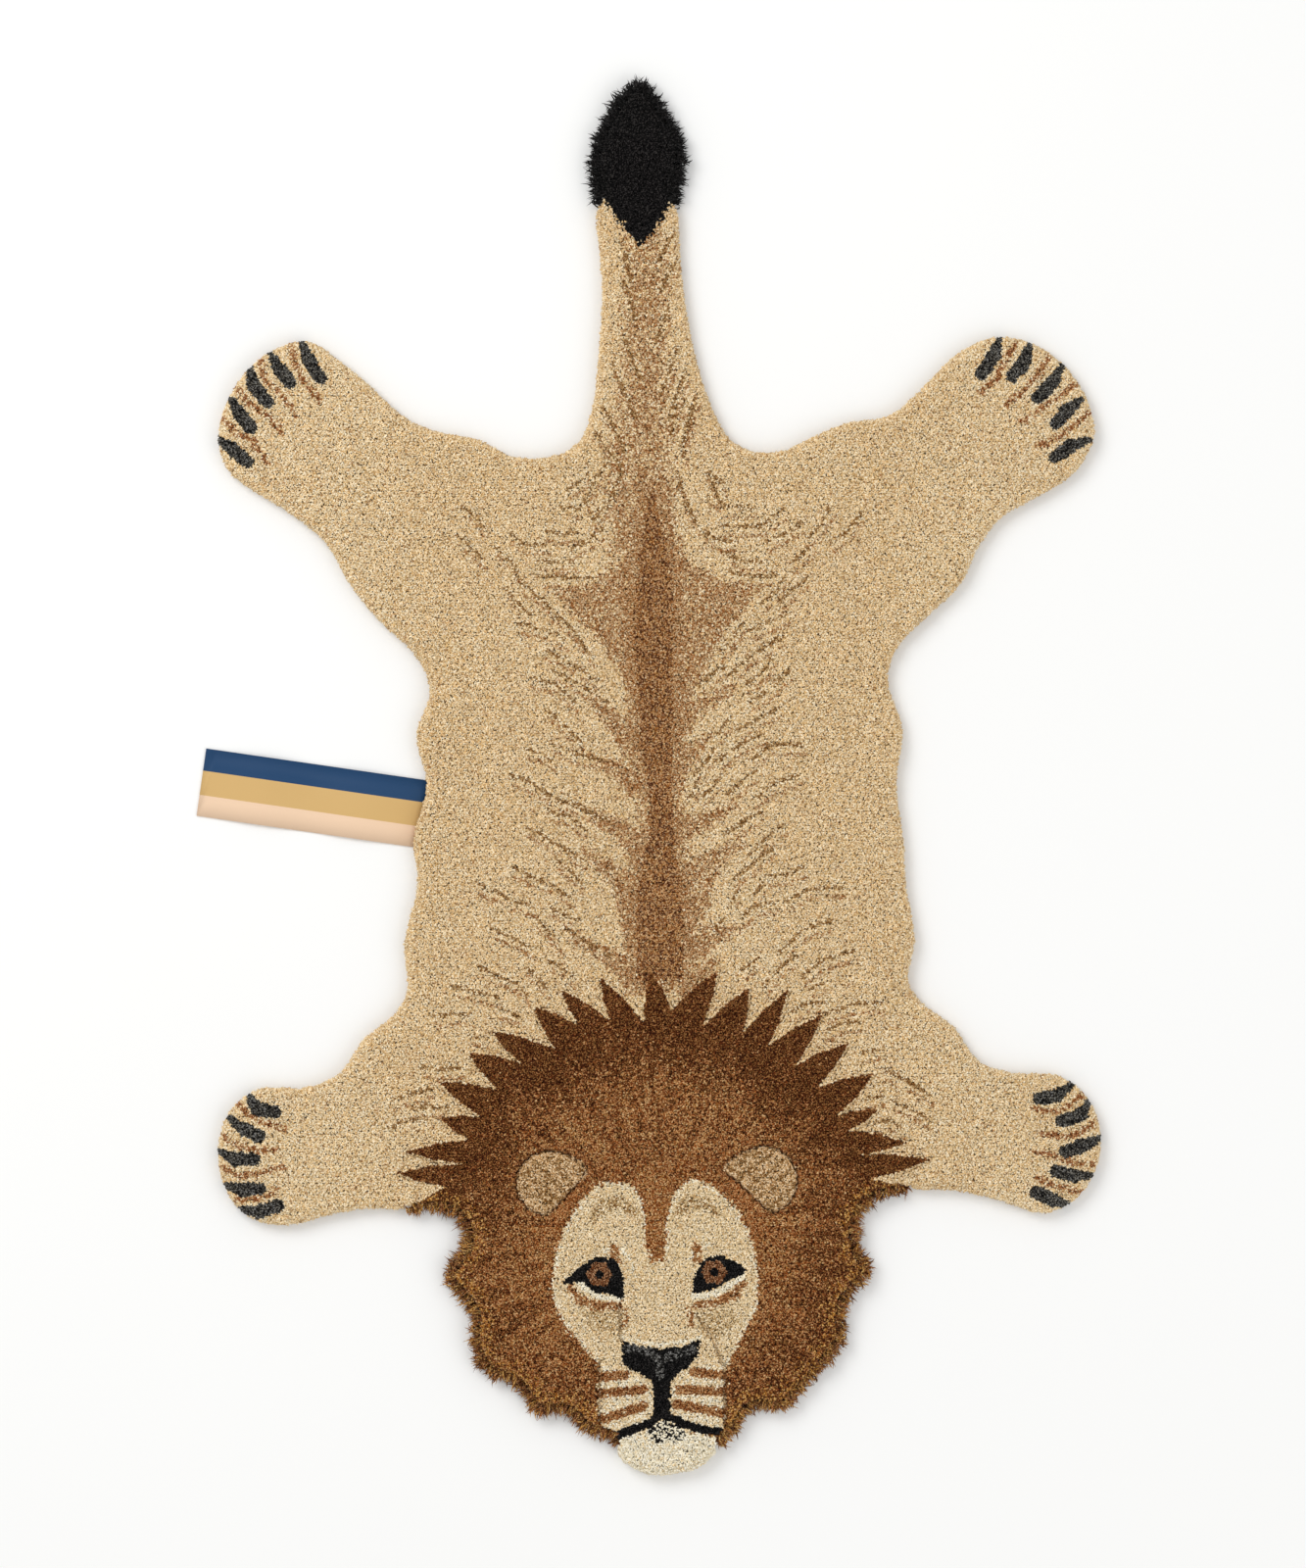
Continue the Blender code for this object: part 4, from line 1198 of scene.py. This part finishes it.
# %% Strands of the rim
STRANDS_A_LOCK = 22
RIM_RINGS = (0.42, 0.76)
RIM_WIDTH = 0.7
ROOT_SCATTER = (2.1, 2.1, 1.05)
TIP_SCATTER = (1.92, 1.92, 1.2)
STRAND_BOW = 0.8
LOWEST_STRAND = 0.8


def rim_strand():
    """One long strand with its root at height 0 and its point at 1: a slim cone with rings to bend at."""
    bm = slim_cone(1.0, 0.0)
    bmesh.ops.translate(bm, verts=bm.verts, vec=(0.0, 0.0, 0.5))
    for height in RIM_RINGS:
        geometry = [*bm.verts, *bm.edges, *bm.faces]
        bmesh.ops.bisect_plane(bm, geom=geometry, plane_co=(0, 0, height), plane_no=(0, 0, 1))
    return arrays_of(bm)


def comb_rim(waists, tips, lengths, dice):
    """Corners of all rim strands, combed from inside the rug out along their locks."""
    waists, tips = (np.repeat(a, STRANDS_A_LOCK, axis=0) for a in (waists, tips))
    roots = 2.0 * waists - tips + dice.normal(size=waists.shape) * ROOT_SCATTER
    ends = waists + (tips - waists) * dice.uniform(*lengths, (len(tips), 1))
    ends += dice.normal(size=tips.shape) * TIP_SCATTER
    axes = ends - roots
    axes /= np.linalg.norm(axes, axis=1, keepdims=True)
    first, second = (direction[:, None] for direction in frames_round(axes, dice))
    level = RIM_STRAND[None, :, 2:]
    across = RIM_STRAND[None, :, :2] / np.maximum(1.0 - level, TINY) * (1.0 - level ** 2)
    bow = dice.normal(size=tips.shape)[:, None] * STRAND_BOW * np.sin(math.pi * level)
    corners = roots[:, None] + (ends - roots)[:, None] * level + bow
    corners += RIM_WIDTH * (across[..., :1] * first + across[..., 1:] * second)
    corners[..., 2] = np.maximum(corners[..., 2], LOWEST_STRAND)
    return corners


RIM_STRAND, RIM_FACES = rim_strand()
# Rim strands darken towards their roots: painted shade, with a touch of painted light at the tips.
RIM_PAINTED_SHADES = np.interp(RIM_STRAND[:, 2], (0.0, 0.4, 1.0), (0.6, 0.95, 1.05))
print("a rim strand of", len(RIM_FACES), "faces")

# %% The two fringes
on_head = lock_tips[:, 1] < 0.0
FRINGES = (
    # name, its locks, shortest and longest strand as a share of the lock, shares of the yarns
    ("mane_fringe", on_head, (0.5, 1.05),
     {"mane_dark": 0.16, "mane_brown": 0.26, "mane_warm": 0.14, "rim_gold": 0.44}),
    ("tail_fringe", ~on_head, (0.45, 1.05), {"black": 1.0}),
)
for name, chosen, lengths, mix in FRINGES:
    corners = comb_rim(lock_waists[chosen], lock_tips[chosen], lengths, dice)
    kinds = [YARN_NAMES.index(yarn) for yarn in mix]
    yarn = dice.choice(kinds, size=len(corners), p=list(mix.values()))
    tone = 1.0 + dice.normal(size=len(corners)) * YARN_UNEVEN
    add_strands(name, corners, RIM_FACES, RIM_STRAND[:, 2], YARN_COLOURS[yarn] * tone[:, None],
                              RIM_PAINTED_SHADES, wool)

# %% [markdown]
# ## The ground
#
# Between the tufts the eye looks down on their roots and on the backing cloth that holds them. So the
# slab itself, made lower and narrower, lies under the pile in the pile's yarn colours, darkened as painted
# shade, as roots look deep between the tufts. Its underside is the bare backing, a plain cotton canvas.

# %% Ground materials
THREAD_PITCH = 1.2 * MM
WAVES_TO_THE_TURN = 20.0


def wave_scale(pitch):
    """The scale at which a Wave texture repeats at a pitch: at scale 1 it turns 20 radians in a unit."""
    return 1.0 / pitch / WAVES_TO_THE_TURN * math.tau


def build_roots():
    """Yarn roots seen from above: the colour attribute, which holds the yarn's colour darkened as painted
    shade, without any gleam.
    """
    material, tree, shader = start_material("wool_yarn_roots", {"Roughness": 1.0, "Specular IOR Level": 0.0})
    yarn = add_node(tree, "ShaderNodeAttribute", {"attribute_name": "yarn"})
    tree.links.new(yarn.outputs["Color"], shader.inputs["Base Color"])
    return material


def build_canvas():
    """Plain woven cotton canvas: bands of thread across each other, with painted shade between the threads
    and painted light on their backs.
    """
    material, tree, shader = start_material("woven_cotton_canvas", {"Roughness": 0.9})
    place = object_place(tree)
    warp, weft = (
        add_node(tree, "ShaderNodeTexWave", {"bands_direction": direction},
                 {"Vector": place, "Scale": wave_scale(THREAD_PITCH)})
        for direction in ("X", "Y")
    )
    thread = add_node(tree, "ShaderNodeMath", {"operation": "MAXIMUM"},
                      {0: warp.outputs["Fac"], 1: weft.outputs["Fac"]})
    # The darker colour between the threads is painted shade, and the paler one on their backs is painted
    # light.
    cloth = mixed_colour(tree, thread.outputs["Value"], "8d8471", "cfc6b2")
    tree.links.new(cloth, shader.inputs["Base Color"])
    return material


roots, canvas = build_roots(), build_canvas()
print(roots.name, "and", canvas.name)

# %% The ground itself
GROUND_SHARE = 0.6
GROUND_INSET = 3.2 * MM
# The ground takes the pile's yarn colours darkened by this share: painted shade between the tufts.
GROUND_PAINTED_SHADE = 0.66
GROUND_EDGE = 7.0 * MM
GROUND_ROUNDS = 2
FOOT_HEIGHT = 0.2 * MM
UPPER_PART = 1.0 * MM
FACES_DOWN = -0.5
SLIVER = 0.02 * MM


def split_long_edges(bm):
    """Splits the long edges of the upper faces over a few rounds, so that each face can have a yarn of its
    own.
    """
    for _ in range(GROUND_ROUNDS):
        upper_edges = [edge for edge in bm.edges if min(vert.co.z for vert in edge.verts) > UPPER_PART]
        long_edges = [edge for edge in upper_edges if edge.calc_length() > GROUND_EDGE]
        bmesh.ops.subdivide_edges(bm, edges=long_edges, cuts=1)
        bmesh.ops.triangulate(bm, faces=[face for face in bm.faces if len(face.verts) > 3])
        bmesh.ops.dissolve_degenerate(bm, dist=SLIVER, edges=bm.edges)
        bmesh.ops.triangulate(bm, faces=[face for face in bm.faces if len(face.verts) > 3])


def lower_slab(bm):
    """Makes the bare slab lower, and narrower but for its foot, which stays under the pile anyway."""
    bm.normal_update()
    moves = {vert: Vector((vert.normal.x, vert.normal.y, 0.0)) * GROUND_INSET for vert in bm.verts}
    for vert, move in moves.items():
        if vert.co.z > FOOT_HEIGHT:
            vert.co -= move
            vert.co.z *= GROUND_SHARE


def build_ground():
    """The lowered slab with its two materials, dyed like the pile above but darkened as painted shade between
    the tufts.
    """
    split_long_edges(slab)
    middles = np.array([face.calc_center_median()[:] for face in slab.faces]) / MM
    yarns = yarns_at(middles[:, :2])
    lower_slab(slab)
    yarn_layer = slab.loops.layers.float_color.new("yarn")
    for face, yarn in zip(slab.faces, yarns):
        for loop in face.loops:
            loop[yarn_layer] = (*(YARN_COLOURS[yarn] * GROUND_PAINTED_SHADE), 1.0)
        face.material_index = int(face.normal.z < FACES_DOWN)
    return object_of("rug_ground", slab, roots, canvas)


ground = build_ground()
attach(ground, "root")
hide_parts("tufted_rug")
print("ground of", len(ground.data.polygons), "faces")

# %% [markdown]
# ## The woven label
#
# A satin label is woven on a narrow loom with long floating threads, which gives it a soft gleam. This one
# has three lengthwise stripes. The strip follows the top of the solid label, waves and all, and is given
# a cloth's thickness.

# %% Satin of the label
LABEL_START = (-158.6, -22.8)
LABEL_TURN = math.radians(171.8)
LABEL_LENGTH = 146.0
LABEL_WIDTH = 45.0
STRIPES = ((0.0, "efceae"), (0.31, "d4ae70"), (0.67, "174068"))
LABEL_THREAD = 0.5
LABEL_THREAD_TONES = (0.93, 1.03)
LABEL_THREAD_WANDER = 0.4
LABEL_THREAD_DEPTH = 0.1 * MM
LABEL_RELIEF = 0.4
SATIN_SURFACE = {"Roughness": 0.6, "Specular IOR Level": 0.3, "Anisotropic": 0.4, "Sheen Weight": 0.08}


def build_satin():
    """Woven satin with three stripes along the strip: soft gleams that run along the floating threads."""
    material, tree, shader = start_material("woven_satin_label", SATIN_SURFACE)
    strip = add_node(tree, "ShaderNodeUVMap", {"uv_map": "strip"})
    place = add_node(tree, "ShaderNodeSeparateXYZ", inputs={"Vector": strip.outputs["UV"]})
    stripes = add_node(tree, "ShaderNodeValToRGB", inputs={"Fac": place.outputs["Y"]})
    ramp = stripes.color_ramp
    ramp.interpolation = "CONSTANT"
    for number, (start, colour) in enumerate(STRIPES):
        stop = ramp.elements[number] if number < 2 else ramp.elements.new(start)
        stop.position = start
        stop.color = rgba(colour)
    threads = add_node(tree, "ShaderNodeTexWave", {"bands_direction": "X"},
                       {"Vector": strip.outputs["UV"], "Scale": wave_scale(LABEL_THREAD / LABEL_LENGTH),
                        "Distortion": LABEL_THREAD_WANDER})
    tone = carried_over(tree, threads.outputs["Fac"], LABEL_THREAD_TONES)
    tree.links.new(toned_colour(tree, stripes.outputs["Color"], tone), shader.inputs["Base Color"])
    add_relief(tree, shader, threads.outputs["Fac"], LABEL_RELIEF, LABEL_THREAD_DEPTH)
    return material


satin = build_satin()
print(satin.name, "with", len(STRIPES), "stripes")

# %% The label's cloth
LABEL_CLOTH = 0.5 * MM
FACES_UP = 0.5


def build_label():
    """The top of the solid label as a thin cloth, with a flat map along and across it."""
    bm = merged_copy("label")
    bm.normal_update()
    under = [face for face in bm.faces if face.normal.z < FACES_UP]
    bmesh.ops.delete(bm, geom=under, context="FACES")
    bmesh.ops.recalc_face_normals(bm, faces=bm.faces)
    layer = bm.loops.layers.uv.new("strip")
    along = Vector((math.cos(LABEL_TURN), math.sin(LABEL_TURN)))
    across = Vector((along.y, -along.x))
    for face in bm.faces:
        face.smooth = True
        for loop in face.loops:
            spot = Vector(loop.vert.co[:2]) / MM - Vector(LABEL_START)
            loop[layer].uv = (spot.dot(along) / LABEL_LENGTH, 0.5 + spot.dot(across) / LABEL_WIDTH)
    label = object_of("woven_label", bm, satin)
    cloth = label.modifiers.new("cloth", "SOLIDIFY")
    cloth.thickness = LABEL_CLOTH
    cloth.offset = -1.0
    return label


label = build_label()
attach(label, "root")
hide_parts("label")
print("label of", len(label.data.polygons), "faces")
